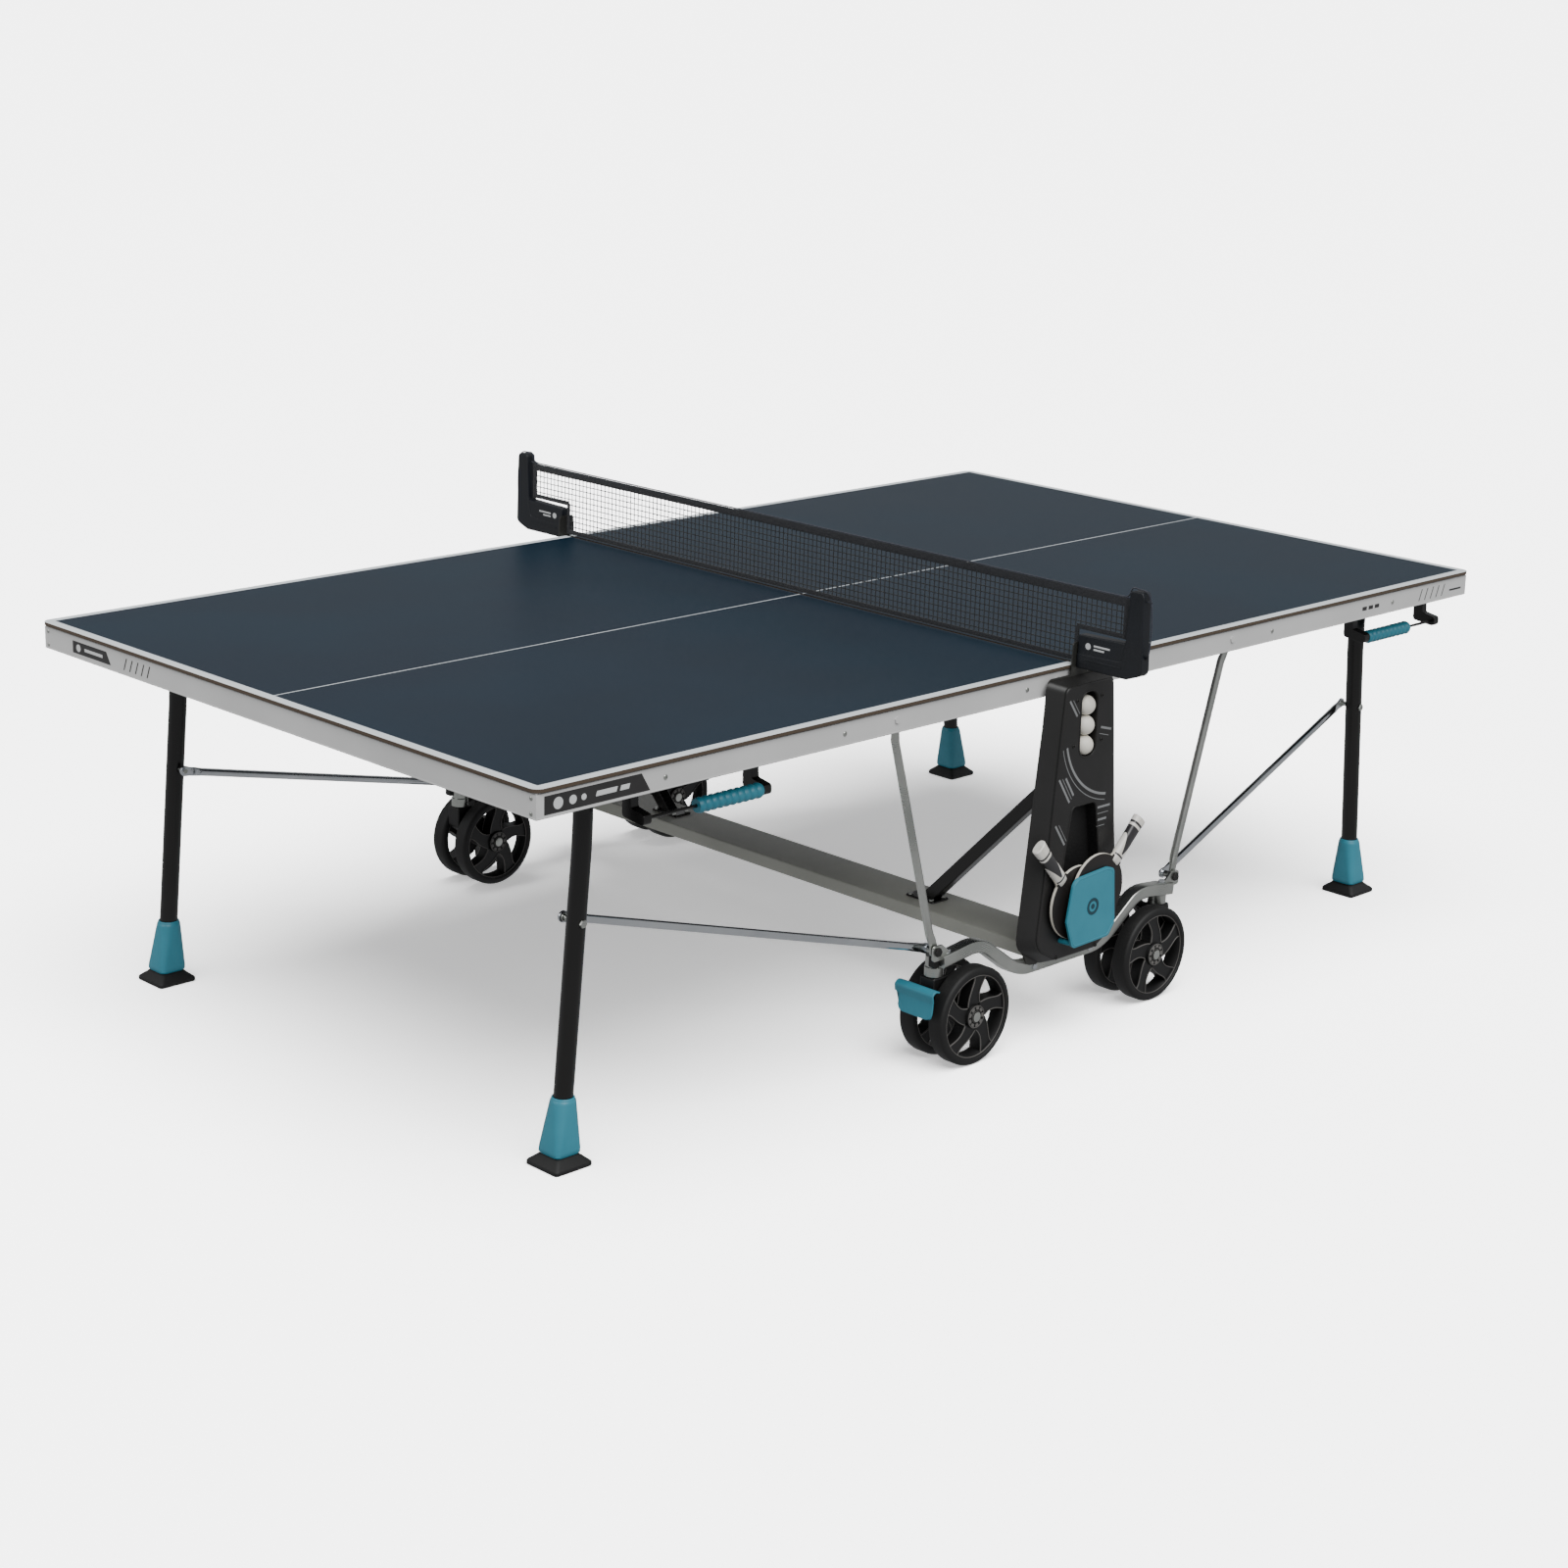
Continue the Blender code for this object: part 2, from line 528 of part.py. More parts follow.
def make_foot(half, side, sx, sy, material):
    """Square foot pad with a bevelled top."""
    levels = ((0.0, FOOT_SIZE - 0.004), (0.003, FOOT_SIZE), (0.013, FOOT_SIZE), (FOOT_HEIGHT, FOOT_SIZE - 0.018))
    rings = [[(u, v, z) for u, v in square(sx * foot_x(), sy * LEG_Y, size, FOOT_CORNER_R)] for z, size in levels]
    foot = loft(f"{half}_{side}_foot", rings, material)
    return set_origin(foot, (sx * LEG_PIVOT_X, 0, LEG_PIVOT_Z))


# ---- unlock handles --------------------------------------------------------------------------------
def handle_tab_places(half):
    """Distances from the centre of the two tabs that carry the handle's shaft."""
    inner, outer = HANDLE_SPAN[half]
    reach = HANDLE_ARM_THICK / 2 + 0.004
    return inner - reach, outer + reach


def make_handle(half, sx, material):
    """Two arms on a shaft, joined by the thin rod that carries the grip."""
    inner, outer = HANDLE_SPAN[half]
    y, z = -HANDLE_PIVOT_Y, HANDLE_PIVOT_Z
    tabs = handle_tab_places(half)
    handle = rod(f"{half}_unlock_handle", (sx * (tabs[0] - 0.005), y, z), (sx * (tabs[1] + 0.005), y, z), PIN_R)
    parts = [rod("rod", (sx * inner, -HANDLE_ROD_Y, HANDLE_ROD_Z), (sx * outer, -HANDLE_ROD_Y, HANDLE_ROD_Z),
                 HANDLE_ROD_R, 10)]
    arm = rounded([(y + 0.011, z + 0.004, 0.004), (y - 0.011, z + 0.004, 0.004), (y - 0.013, HANDLE_ROD_Z + 0.016, 0.004),
                   (-HANDLE_ROD_Y - 0.011, HANDLE_ROD_Z + 0.010, 0.007), (-HANDLE_ROD_Y - 0.011, HANDLE_ROD_Z - 0.011, 0.008),
                   (y + 0.011, HANDLE_ROD_Z - 0.004, 0.008)], 3)
    for x in (inner, outer):
        parts.append(slab("arm", arm, sx * (x - HANDLE_ARM_THICK / 2), sx * (x + HANDLE_ARM_THICK / 2), "x"))
    join(handle, *parts)
    handle.data.materials.append(material)
    return smooth(set_origin(handle, (sx * inner, y, z)))


def make_grip(half, sx, material):
    """Ribbed tube on the handle's rod, beside the inner arm."""
    inner = HANDLE_SPAN[half][0]
    start = inner + HANDLE_ARM_THICK / 2 + 0.001
    pitch = GRIP_LENGTH / GRIP_RIBS
    valley_r = GRIP_R - 0.0022
    outer = []
    for k in range(GRIP_RIBS):
        outer += [(start + pitch * k, valley_r), (start + pitch * (k + 0.5), GRIP_R)]
    outer.append((start + GRIP_LENGTH, valley_r))
    bore = HANDLE_ROD_R + BORE_PLAY
    profile = outer + [(start + GRIP_LENGTH, bore), (start, bore)]
    steps = 10
    bm = bmesh.new()
    loops = [[bm.verts.new((sx * t, -HANDLE_ROD_Y + r * cos(2 * pi * k / steps), HANDLE_ROD_Z + r * sin(2 * pi * k / steps)))
              for t, r in profile] for k in range(steps)]
    for k in range(steps):
        a, b = loops[k], loops[(k + 1) % steps]
        for i in range(len(profile)):
            j = (i + 1) % len(profile)
            bm.faces.new((a[i], a[j], b[j], b[i]))
    grip = add_object(f"{half}_grip", bm, material)
    return smooth(set_origin(grip, (sx * inner, -HANDLE_PIVOT_Y, HANDLE_PIVOT_Z)))


# ---- chassis ---------------------------------------------------------------------------------------
def make_beam(material):
    """Cross beam: an upside-down channel between the wheel arms."""
    w, top, low = BEAM_WIDTH / 2, BEAM_TOP_Z, BEAM_TOP_Z - BEAM_DEPTH
    section = [(-w, low), (-w + SHEET, low), (-w + SHEET, top - SHEET), (w - SHEET, top - SHEET), (w - SHEET, low),
               (w, low), (w, top), (-w, top)]
    reach = wheel_arm_in_y - GAP
    return slab("chassis_beam", section, -reach, reach, "y", material)


def wheel_arm_top():
    """Top line of a wheel arm, from its middle outwards: low under the shroud, humped over the wheel."""
    over = 2 * WHEEL_R
    return [(0.110, 0.165), (0.146, 0.178), (0.232, over + 0.0405), (0.262, over + 0.0455), (WHEEL_ARM_END_X, over + 0.0345)]


def make_wheel_arm(side, sy, material):
    """Humped bar along the table that carries the casters and the lower pivots."""
    right = wheel_arm_top()
    top_line = [(-x, z) for x, z in reversed(right)] + right
    bar = top_line + [(x, z - WHEEL_ARM_DEPTH) for x, z in reversed(top_line)]
    arm = slab(f"{side}_wheel_arm", bar, sy * wheel_arm_in_y, sy * WHEEL_ARM_OUT_Y)
    inset = 0.003
    inner_line = [(max(min(x, WHEEL_ARM_END_X - inset), inset - WHEEL_ARM_END_X), z - SHEET) for x, z in top_line]
    hollow = inner_line + [(x, z - WHEEL_ARM_DEPTH - 0.02) for x, z in reversed(inner_line)]
    cut(arm, slab("hollow", hollow, sy * (wheel_arm_in_y + SHEET), sy * (WHEEL_ARM_OUT_Y - SHEET)))
    parts, bores = [], []
    socket_low = FORK_TOP_Z + GAP + 0.0002
    for _, sx in HALVES:
        low, high = ARM_PIVOT_Z - 0.0185, ARM_PIVOT_Z + 0.0125
        plate = rounded([(sx * 0.330, low, 0), (sx * 0.330, low + 0.014, 0.003), (sx * 0.350, high, 0.004),
                         (sx * (ARM_PIVOT_X + 0.013), high, 0.008), (sx * (ARM_PIVOT_X + 0.013), low, 0.006)], 3)
        parts.append(slab("pivot_plate", plate, sy * (STRUT_EYE_Y + 0.0061), sy * (STRUT_EYE_Y + 0.0101)))
        parts.append(pin_y(sx * ARM_PIVOT_X, sy * (STRUT_EYE_Y + 0.0090), sy * (STRUT_EYE_Y + 0.0150), ARM_PIVOT_Z, 0.0075, 6))
        socket_top = ARM_PIVOT_Z - 0.017
        parts.append(rod("socket", (sx * CASTER_X, sy * CASTER_Y, socket_low), (sx * CASTER_X, sy * CASTER_Y, socket_top),
                         SOCKET_R, 16))
        bolt = (sx * (CASTER_X - 0.012), sy * (WHEEL_ARM_OUT_Y - 0.015))
        parts.append(rod("bolt_head", (*bolt, socket_top + 0.0025), (*bolt, socket_top + 0.014), 0.0075, 6))
        bores.append(rod("bore", (sx * CASTER_X, sy * CASTER_Y, socket_low - 0.01), (sx * CASTER_X, sy * CASTER_Y, stem_top_z + 0.001),
                         STEM_R + BORE_PLAY, 16))
    join(arm, *parts)
    cut(arm, *bores)
    arm.data.materials.append(material)
    return arm


def make_brace(side, sy, material):
    """Square bar from the beam up to the guide plate, with a foot plate."""
    top_y = GUIDE_Y - GAP
    run = top_y - BRACE_FOOT_Y
    rise = BRACE_TOP_Z - BEAM_TOP_Z
    thick = BRACE_SIZE * hypot(run, rise) / rise / 2
    w = BRACE_SIZE / 2
    low_z = BEAM_TOP_Z + GAP
    lift = BRACE_SIZE * hypot(run, rise) / run / 2
    bar = [(sy * (BRACE_FOOT_Y - thick), low_z), (sy * (BRACE_FOOT_Y + thick), low_z), (sy * top_y, BRACE_TOP_Z - lift),
           (sy * top_y, BRACE_TOP_Z + lift)]
    brace = slab(f"{side}_brace", bar, -w, w, "x")
    foot = block("foot", (-w - 0.012, sy * (BRACE_FOOT_Y - 0.045), low_z), (w + 0.012, sy * (BRACE_FOOT_Y + 0.035), low_z + 0.004))
    join(brace, foot)
    brace.data.materials.append(material)
    return brace


def shroud_outline(inset, front):
    """Outline of the shroud's back or front edge, drawn in by an inset."""
    if front:
        side = [(0.070, SHROUD_TOP_Z - 0.010, 0.014), (0.080, SHROUD_TOP_Z - 0.107, 0), (0.098, SHROUD_TOP_Z - 0.317, 0),
                (0.124, SHROUD_LOW_Z + 0.0465, 0.040), (0.060, SHROUD_LOW_Z + 0.012, 0.030)]
    else:
        side = [(0.098, SHROUD_TOP_Z, 0.018), (0.104, SHROUD_TOP_Z - 0.087, 0), (0.121, SHROUD_TOP_Z - 0.237, 0),
                (0.153, SHROUD_LOW_Z + 0.0465, 0.045), (0.075, SHROUD_LOW_Z, 0.035)]
    drawn = [(u - inset, v - inset if v > SHROUD_TOP_Z - 0.05 else (v + inset if v < SHROUD_LOW_Z + 0.05 else v), r)
             for u, v, r in side]
    return mirrored(drawn)


def make_shroud(side, sy, material):
    """Moulded cover over the guide plate, open at the back, with the ball slot and the bat pocket."""
    def rings(inset, back_y, front_y):
        return [[(u, sy * back_y, v) for u, v in shroud_outline(inset, False)],
                [(u, sy * front_y, v) for u, v in shroud_outline(inset, True)]]

    shroud = loft(f"{side}_shroud", rings(0, SHROUD_BACK_Y, SHROUD_FRONT_Y))
    inside = loft("inside", rings(SHROUD_WALL, SHROUD_BACK_Y - 0.0005, SHROUD_FRONT_Y - SHROUD_WALL))
    cut_y = (sy * (SHROUD_FRONT_Y - 0.010), sy * (SHROUD_FRONT_Y + 0.010))
    slot = slab("slot", mirrored([(0.0235, SHROUD_TOP_Z - 0.027, 0.020), (0.0235, SHROUD_TOP_Z - 0.157, 0.020)]), *cut_y)
    high, low = SHROUD_TOP_Z - 0.257, SHROUD_LOW_Z + 0.1065
    pocket = slab("pocket", mirrored([(0.034, high, 0.012), (0.050, low + (high - low) * 0.558, 0), (0.062, low, 0.010)], 3), *cut_y)
    cut(shroud, inside, slot, pocket)
    shroud.data.materials.append(material)
    return smooth(shroud, 30)


def make_guide_plate(side, sy, material):
    """Upright plate with a slanted slot for each half's guide shaft, and a tab for the net post."""
    right = [(0.020, TABLE_HEIGHT + 0.045, 0.006), (0.024, SHROUD_TOP_Z + 0.004, 0), (0.090, SHROUD_TOP_Z + 0.004, 0.012),
             (0.098, SHROUD_TOP_Z - 0.087, 0), (0.115, SHROUD_TOP_Z - 0.237, 0), (0.145, SHROUD_LOW_Z + 0.0665, 0.012),
             (0.110, SHROUD_LOW_Z + 0.0015, 0.02)]
    plate = slab(f"{side}_guide_plate", mirrored(right, 3), sy * GUIDE_Y, sy * (GUIDE_Y + GUIDE_THICK))
    reach = SHAFT_R + 0.00075
    slots = []
    for _, sx in HALVES:
        top = Vector((sx * SHAFT_X, SHAFT_Z))
        low = Vector((sx * FOLDED_SHAFT_X, folded_shaft_z))
        heading = atan2(low.y - top.y, low.x - top.x)
        steps = 6
        outline = [top + Vector((cos(heading + pi / 2 + pi * k / steps), sin(heading + pi / 2 + pi * k / steps))) * reach
                   for k in range(steps + 1)]
        outline += [low + Vector((cos(heading - pi / 2 + pi * k / steps), sin(heading - pi / 2 + pi * k / steps))) * reach
                    for k in range(steps + 1)]
        slots.append(slab("slot", outline, sy * (GUIDE_Y - 0.01), sy * (GUIDE_Y + GUIDE_THICK + 0.01)))
    cut(plate, *slots)
    plate.data.materials.append(material)
    return plate


def make_bat_holder(side, sy, material):
    """Plate in front of the bat pocket, with a shelf under the blades and two posts to the shroud."""
    corners = [(-0.060, 0.3455, 0.022), (0.042, 0.352, 0.020), (0.0634, 0.345, 0.012), (0.0737, 0.230, 0.012),
               (0.0555, 0.2046, 0.012), (-0.0545, 0.2015, 0.012), (-0.0758, 0.2595, 0.010)]
    outer_y = HOLDER_Y + HOLDER_THICK
    holder = slab(f"{side}_bat_holder", rounded([(-sy * u, v, r) for u, v, r in corners], 3), sy * HOLDER_Y, sy * outer_y)
    shelf = block("shelf", (-0.050, sy * (SHROUD_FRONT_Y + GAP), 0.2035), (0.050, sy * (HOLDER_Y + 0.001), 0.2085))
    join(holder, shelf)
    holder.data.materials.append(material)
    return holder


# ---- bats -------------------------------------------------------------------------------------------
BATS = {"left_bat": {"centre": (-0.025, 0.2875), "heading": (-0.66, 0.75), "length": 0.185, "y": SHROUD_FRONT_Y + 0.0125},
        "right_bat": {"centre": (0.025, 0.3050), "heading": (0.70, 0.71), "length": 0.175, "y": SHROUD_FRONT_Y + 0.0235}}


def make_bat(name, centre, heading, length, y, material):
    """Bat hung head down: round blade and a flared handle."""
    along = Vector(heading).normalized()
    across = Vector((-along.y, along.x))
    centre = Vector(centre)
    neck = 0.014
    start = radians(14)
    steps = 20
    outline = []
    for k in range(steps + 1):
        angle = start + (2 * pi - 2 * start) * k / steps
        outline.append(centre + (along * cos(angle) + across * sin(angle)) * BAT_BLADE_R)
    for reach, width in ((0.100, -neck), (0.100, neck)):
        outline.append(centre + along * reach + across * width)
    bat = slab(name, [(p.x, p.y) for p in outline], -y + BAT_THICK / 2, -y - BAT_THICK / 2)
    rings = []
    for reach, wide in ((0.062, 0.012), (0.085, 0.014), (length - 0.02, 0.0145), (length, 0.017)):
        middle = centre + along * reach
        ring = []
        for k in range(10):
            angle = 2 * pi * k / 10
            flat = middle + across * (wide * cos(angle))
            thick = BAT_HANDLE_R if reach > 0.07 else BAT_THICK / 2 + 0.0005
            ring.append((flat.x, -y + thick * sin(angle), flat.y))
        rings.append(ring)
    join(bat, loft("handle", rings))
    bat.data.materials.append(material)
    return smooth(bat)


# ---- casters ----------------------------------------------------------------------------------------
def make_fork(half, side, sx, sy, material):
    """Caster body between the twin wheels, with its swivel stem and the axle."""
    y0, y1 = sy * (CASTER_Y - FORK_WIDTH / 2), sy * (CASTER_Y + FORK_WIDTH / 2)
    outline = rounded([(sx * (CASTER_X - 0.020), FORK_TOP_Z, 0.004), (sx * (CASTER_X + 0.0195), FORK_TOP_Z, 0.004),
                       (sx * (CASTER_X + 0.0195), WHEEL_R + 0.040, 0.010), (sx * (axle_x + 0.014), WHEEL_R - 0.018, 0.014),
                       (sx * (axle_x - 0.018), WHEEL_R - 0.018, 0.014), (sx * (axle_x - 0.022), WHEEL_R + 0.018, 0.014)], 3)
    fork = slab(f"{half}_{side}_caster_fork", outline, y0, y1)
    stem = rod("stem", (sx * CASTER_X, sy * CASTER_Y, FORK_TOP_Z - 0.005), (sx * CASTER_X, sy * CASTER_Y, stem_top_z), STEM_R, 16)
    half_axle = FORK_WIDTH / 2 + WHEEL_WIDTH + WHEEL_PLAY * 2
    axle = pin_y(sx * axle_x, sy * CASTER_Y - half_axle, sy * CASTER_Y + half_axle, WHEEL_R, AXLE_R)
    caps = [pin_y(sx * axle_x, sy * CASTER_Y + s * half_axle, sy * CASTER_Y + s * (half_axle + 0.002), WHEEL_R, 0.010)
            for s in (-1, 1)]
    join(fork, stem, axle, *caps)
    fork.data.materials.append(material)
    return smooth(set_origin(fork, (sx * CASTER_X, sy * CASTER_Y, FORK_TOP_Z)))


def make_wheel(name, sx, centre_y, material):
    """Wheel with a rounded tread, a deep rim, a hub and windows between its spokes."""
    w = WHEEL_WIDTH / 2
    rim_r, hub_r, web = WHEEL_R * 0.80, WHEEL_R * 0.26, 0.010
    bore = AXLE_R + BORE_PLAY
    half_profile = [(w, bore), (w, hub_r), (web, hub_r), (web, rim_r), (w, rim_r), (w, WHEEL_R - 0.008),
                    (w - 0.007, WHEEL_R)]
    profile = half_profile + [(-t, r) for t, r in reversed(half_profile)]
    steps = 20
    wheel = turned(name, profile, (sx * axle_x, centre_y, WHEEL_R), steps)
    windows = []
    for k in range(SPOKES):
        middle = pi / 2 + pi / SPOKES + 2 * pi * k / SPOKES
        corners = [(hub_r + 0.006, -0.26), (rim_r - 0.004, -0.44), (rim_r - 0.001, 0.0), (rim_r - 0.004, 0.44), (hub_r + 0.006, 0.26)]
        outline = [(sx * axle_x + r * cos(middle + a), WHEEL_R + r * sin(middle + a)) for r, a in corners]
        windows.append(slab("window", outline, centre_y - w - 0.01, centre_y + w + 0.01))
    cut(wheel, *windows)
    wheel.data.materials.append(material)
    return smooth(set_origin(wheel, (sx * axle_x, centre_y, WHEEL_R)))


def make_brake_pedal(half, side, sx, sy, material):
    """Wide pedal on the outer side of a caster, on a short stem between the wheels."""
    hinge_x, hinge_z = CASTER_X + 0.0255, WHEEL_R + 0.050
    profile = [(-0.007, 0.072, 0), (0.009, 0.058, 0.006), (0.0135, 0.016, 0), (0.0185, 0.014, 0), (0.015, 0.062, 0.008), (-0.003, 0.077, 0)]
    edge_x = axle_x + WHEEL_R       # outermost point of the wheel
    scoop = rounded([(sx * (edge_x + u), WHEEL_R + v, r) for u, v, r in profile], 3)
    pedal = slab(f"{half}_{side}_brake_pedal", scoop, sy * (CASTER_Y - 0.048), sy * (CASTER_Y + 0.048))
    stem = slab("stem", [(sx * hinge_x, hinge_z - 0.005), (sx * hinge_x, hinge_z + 0.005),
                          (sx * (edge_x + 0.012), WHEEL_R + 0.052), (sx * (edge_x + 0.014), WHEEL_R + 0.038)],
                sy * (CASTER_Y - 0.014), sy * (CASTER_Y + 0.014))
    barrel = pin_y(sx * hinge_x, sy * (CASTER_Y - 0.014), sy * (CASTER_Y + 0.014), hinge_z, 0.0052)
    join(pedal, stem, barrel)
    pedal.data.materials.append(material)
    return smooth(set_origin(pedal, (sx * hinge_x, sy * CASTER_Y, hinge_z)))


# ---- net --------------------------------------------------------------------------------------------
def make_net(material):
    """Net between the posts, its lower corners cut away over the posts' arms."""
    step_y = half_width + 0.001
    right = [(NET_END_Y, NET_TOP_Z, 0), (NET_END_Y, TABLE_HEIGHT + 0.070, 0), (step_y, TABLE_HEIGHT + 0.0675, 0),
             (step_y, TABLE_HEIGHT + 0.004, 0)]
    return slab("net", mirrored(right), -NET_THICK / 2, NET_THICK / 2, "x", material)


def make_net_post(side, sy, material):
    """L-shaped post: an arm beside the table's edge, a plate on it and the upright."""
    corners = [(POST_INNER_Y, POST_LOW_Z, 0), (POST_OUTER_Y - 0.0375, POST_LOW_Z, 0.010), (POST_OUTER_Y, POST_LOW_Z + 0.013, 0.010),
               (POST_OUTER_Y - 0.006, POST_TOP_Z - 0.004, 0.010), (NET_END_Y + 0.004, POST_TOP_Z, 0.010),
               (NET_END_Y + 0.0005, TABLE_HEIGHT + 0.0665, 0), (POST_INNER_Y, TABLE_HEIGHT + 0.0625, 0.006)]
    outline = rounded([(sy * u, v, r) for u, v, r in corners], 3)
    post = slab(f"{side}_net_post", outline, -POST_THICK / 2, POST_THICK / 2, "x")
    hook = rod("hook", (0, sy * (POST_OUTER_Y - 0.006), TABLE_HEIGHT + 0.040), (0, sy * (POST_OUTER_Y + 0.004), TABLE_HEIGHT + 0.043),
               0.004, 8)
    join(post, hook)
    post.data.materials.append(material)
    return post


def make_tension_cord(material):
    """Cord along the top of the net and over both posts, down to their hooks."""
    lift = CORD_R + 0.0003
    over = POST_TOP_Z + lift
    out = POST_OUTER_Y + lift
    side = [(NET_END_Y - 0.0265, NET_TOP_Z + lift), (NET_END_Y - 0.0065, NET_TOP_Z + lift + 0.004), (NET_END_Y + 0.003, over + 0.0012),
            (NET_END_Y + 0.0185, over + 0.001),
            (POST_OUTER_Y - 0.012, over + 0.0002), (out - 0.003, POST_TOP_Z - 0.006), (out + 0.003, TABLE_HEIGHT + 0.140),
            (out + 0.0065, TABLE_HEIGHT + 0.110), (out + 0.0065, TABLE_HEIGHT + 0.080), (out + 0.004, TABLE_HEIGHT + 0.055),
            (out + 0.0015, TABLE_HEIGHT + 0.049)]
    path = [(0, -y, z) for y, z in reversed(side)] + [(0, y, z) for y, z in side]
    return pipe("net_tension_cord", path, CORD_R, 6, material)


# ---- assembly ---------------------------------------------------------------------------------------
def build():
    for item in list(bpy.data.objects):
        bpy.data.objects.remove(item, do_unlink=True)
    surface = finish("playing_surface", (0.045, 0.075, 0.105), 0.45)
    apron = finish("apron_grey", (0.60, 0.60, 0.59), 0.40, 0.3)
    black = finish("black_paint", (0.025, 0.023, 0.020), 0.40, 0.2)
    zinc = finish("zinc_plate", (0.60, 0.62, 0.58), 0.30, 1.0)
    chrome = finish("chrome", (0.75, 0.76, 0.77), 0.15, 1.0)
    chassis = finish("chassis_paint", (0.23, 0.24, 0.21), 0.45, 0.2)
    shroud = finish("shroud_plastic", (0.045, 0.045, 0.046), 0.50)
    teal = finish("teal_plastic", (0.10, 0.38, 0.50), 0.40)
    wheel = finish("wheel_plastic", (0.012, 0.012, 0.012), 0.50)
    navy = finish("net_plastic", (0.015, 0.020, 0.035), 0.50)
    net = finish("net_fabric", (0.012, 0.015, 0.025), 0.85)
    cord = finish("cord_fibre", (0.02, 0.02, 0.025), 0.80)
    bat = finish("bat_rubber", (0.04, 0.035, 0.035), 0.60)

    make_beam(chassis)
    make_net(net)
    make_tension_cord(cord)
    for side, sy in SIDES:
        make_wheel_arm(side, sy, zinc)
        make_brace(side, sy, black)
        make_guide_plate(side, sy, apron)
        make_shroud(side, sy, shroud)
        make_bat_holder(side, sy, teal)
        make_net_post(side, sy, navy)
    for name, values in BATS.items():
        make_bat(name, material=bat, **values)
    for half, sx in HALVES:
        make_panel(half, sx, surface)
        make_apron(half, sx, apron)
        make_guide_shaft(half, sx, zinc)
        make_leg_frame(half, sx, black)
        make_handle(half, sx, black)
        make_grip(half, sx, teal)
        for side, sy in SIDES:
            make_strut(half, side, sx, sy, zinc)
            make_tie_rod(half, side, sx, sy, chrome)
            make_boot(half, side, sx, sy, teal)
            make_foot(half, side, sx, sy, black)
            make_fork(half, side, sx, sy, wheel)
            for place, s in (("outer", 1), ("inner", -1)):
                centre_y = sy * (CASTER_Y + s * (FORK_WIDTH / 2 + WHEEL_PLAY + WHEEL_WIDTH / 2))
                make_wheel(f"{half}_{side}_{place}_wheel", sx, centre_y, wheel)
    make_brake_pedal("left", "near", -1, -1, teal)
    make_brake_pedal("right", "far", 1, 1, teal)


build()
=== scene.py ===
# Looks of a folding ping pong table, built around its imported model.
# Metres, +Z up, +X along the table. "near" is -Y, "far" is +Y, "left" is -X, "right" is +X.
import math
import bmesh
import bpy
import numpy as np
from mathutils import Matrix, Vector


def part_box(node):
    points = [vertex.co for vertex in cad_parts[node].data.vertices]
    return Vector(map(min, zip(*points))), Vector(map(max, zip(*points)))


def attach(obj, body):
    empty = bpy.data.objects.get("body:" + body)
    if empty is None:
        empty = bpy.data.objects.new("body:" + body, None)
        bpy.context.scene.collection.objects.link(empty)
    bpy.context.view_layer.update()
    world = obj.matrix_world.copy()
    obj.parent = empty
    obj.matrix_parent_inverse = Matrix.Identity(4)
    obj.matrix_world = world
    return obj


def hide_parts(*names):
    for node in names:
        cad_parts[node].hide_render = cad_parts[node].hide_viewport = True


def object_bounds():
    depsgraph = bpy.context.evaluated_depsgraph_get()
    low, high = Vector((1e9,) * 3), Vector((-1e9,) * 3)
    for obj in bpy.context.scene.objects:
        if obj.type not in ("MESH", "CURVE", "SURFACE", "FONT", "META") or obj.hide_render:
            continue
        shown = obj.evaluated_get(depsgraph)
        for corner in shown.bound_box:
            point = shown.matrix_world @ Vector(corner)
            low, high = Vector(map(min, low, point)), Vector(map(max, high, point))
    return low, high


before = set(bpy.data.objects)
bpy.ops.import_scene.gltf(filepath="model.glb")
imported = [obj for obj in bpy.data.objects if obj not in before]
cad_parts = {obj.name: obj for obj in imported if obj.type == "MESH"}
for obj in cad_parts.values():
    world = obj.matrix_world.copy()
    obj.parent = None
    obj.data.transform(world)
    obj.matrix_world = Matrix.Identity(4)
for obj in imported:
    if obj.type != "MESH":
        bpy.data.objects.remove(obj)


def plainBounds():
    return [[float(v) for v in corner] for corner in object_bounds()]


cadBounds = plainBounds()
halves = (("left", -1), ("right", 1))
sides = (("near", -1), ("far", 1))
quarters = [(f"{half}{side.title()}", f"{half}_{side}", sx, sy) for half, sx in halves for side, sy in sides]

# camera and light: what a user would turn first
view = {"azimuth": -0.7838, "elevation": 0.2865, "roll": 0.0277, "lens": 68.76, "place": (-4.39996, -4.37715, 2.16698)}
studio = {"floorColour": "#f4f4f4", "floorGlow": 0.5, "floorReach": 300.0,
          "floorSun": 14.0, "floorSpread": 65.0, "floorPlace": (-0.5, -0.7, 3.0),
          "worldColour": "#f6f7f9", "worldStrength": 0.45,
          "sunStrength": 3.1, "sunSpread": 50.0, "sunPlace": (-0.65, -2.1, 2.9),
          "sidePower": 46.0, "sideSize": 2.6, "sidePlace": (-4.0, 1.5, 2.6)}


def srgb(code):
    # Linear colour of a #rrggbb code.
    values = [int(code[i:i + 2], 16) / 255 for i in (1, 3, 5)]
    return tuple(v / 12.92 if v <= 0.04045 else ((v + 0.055) / 1.055) ** 2.4 for v in values) + (1.0,)


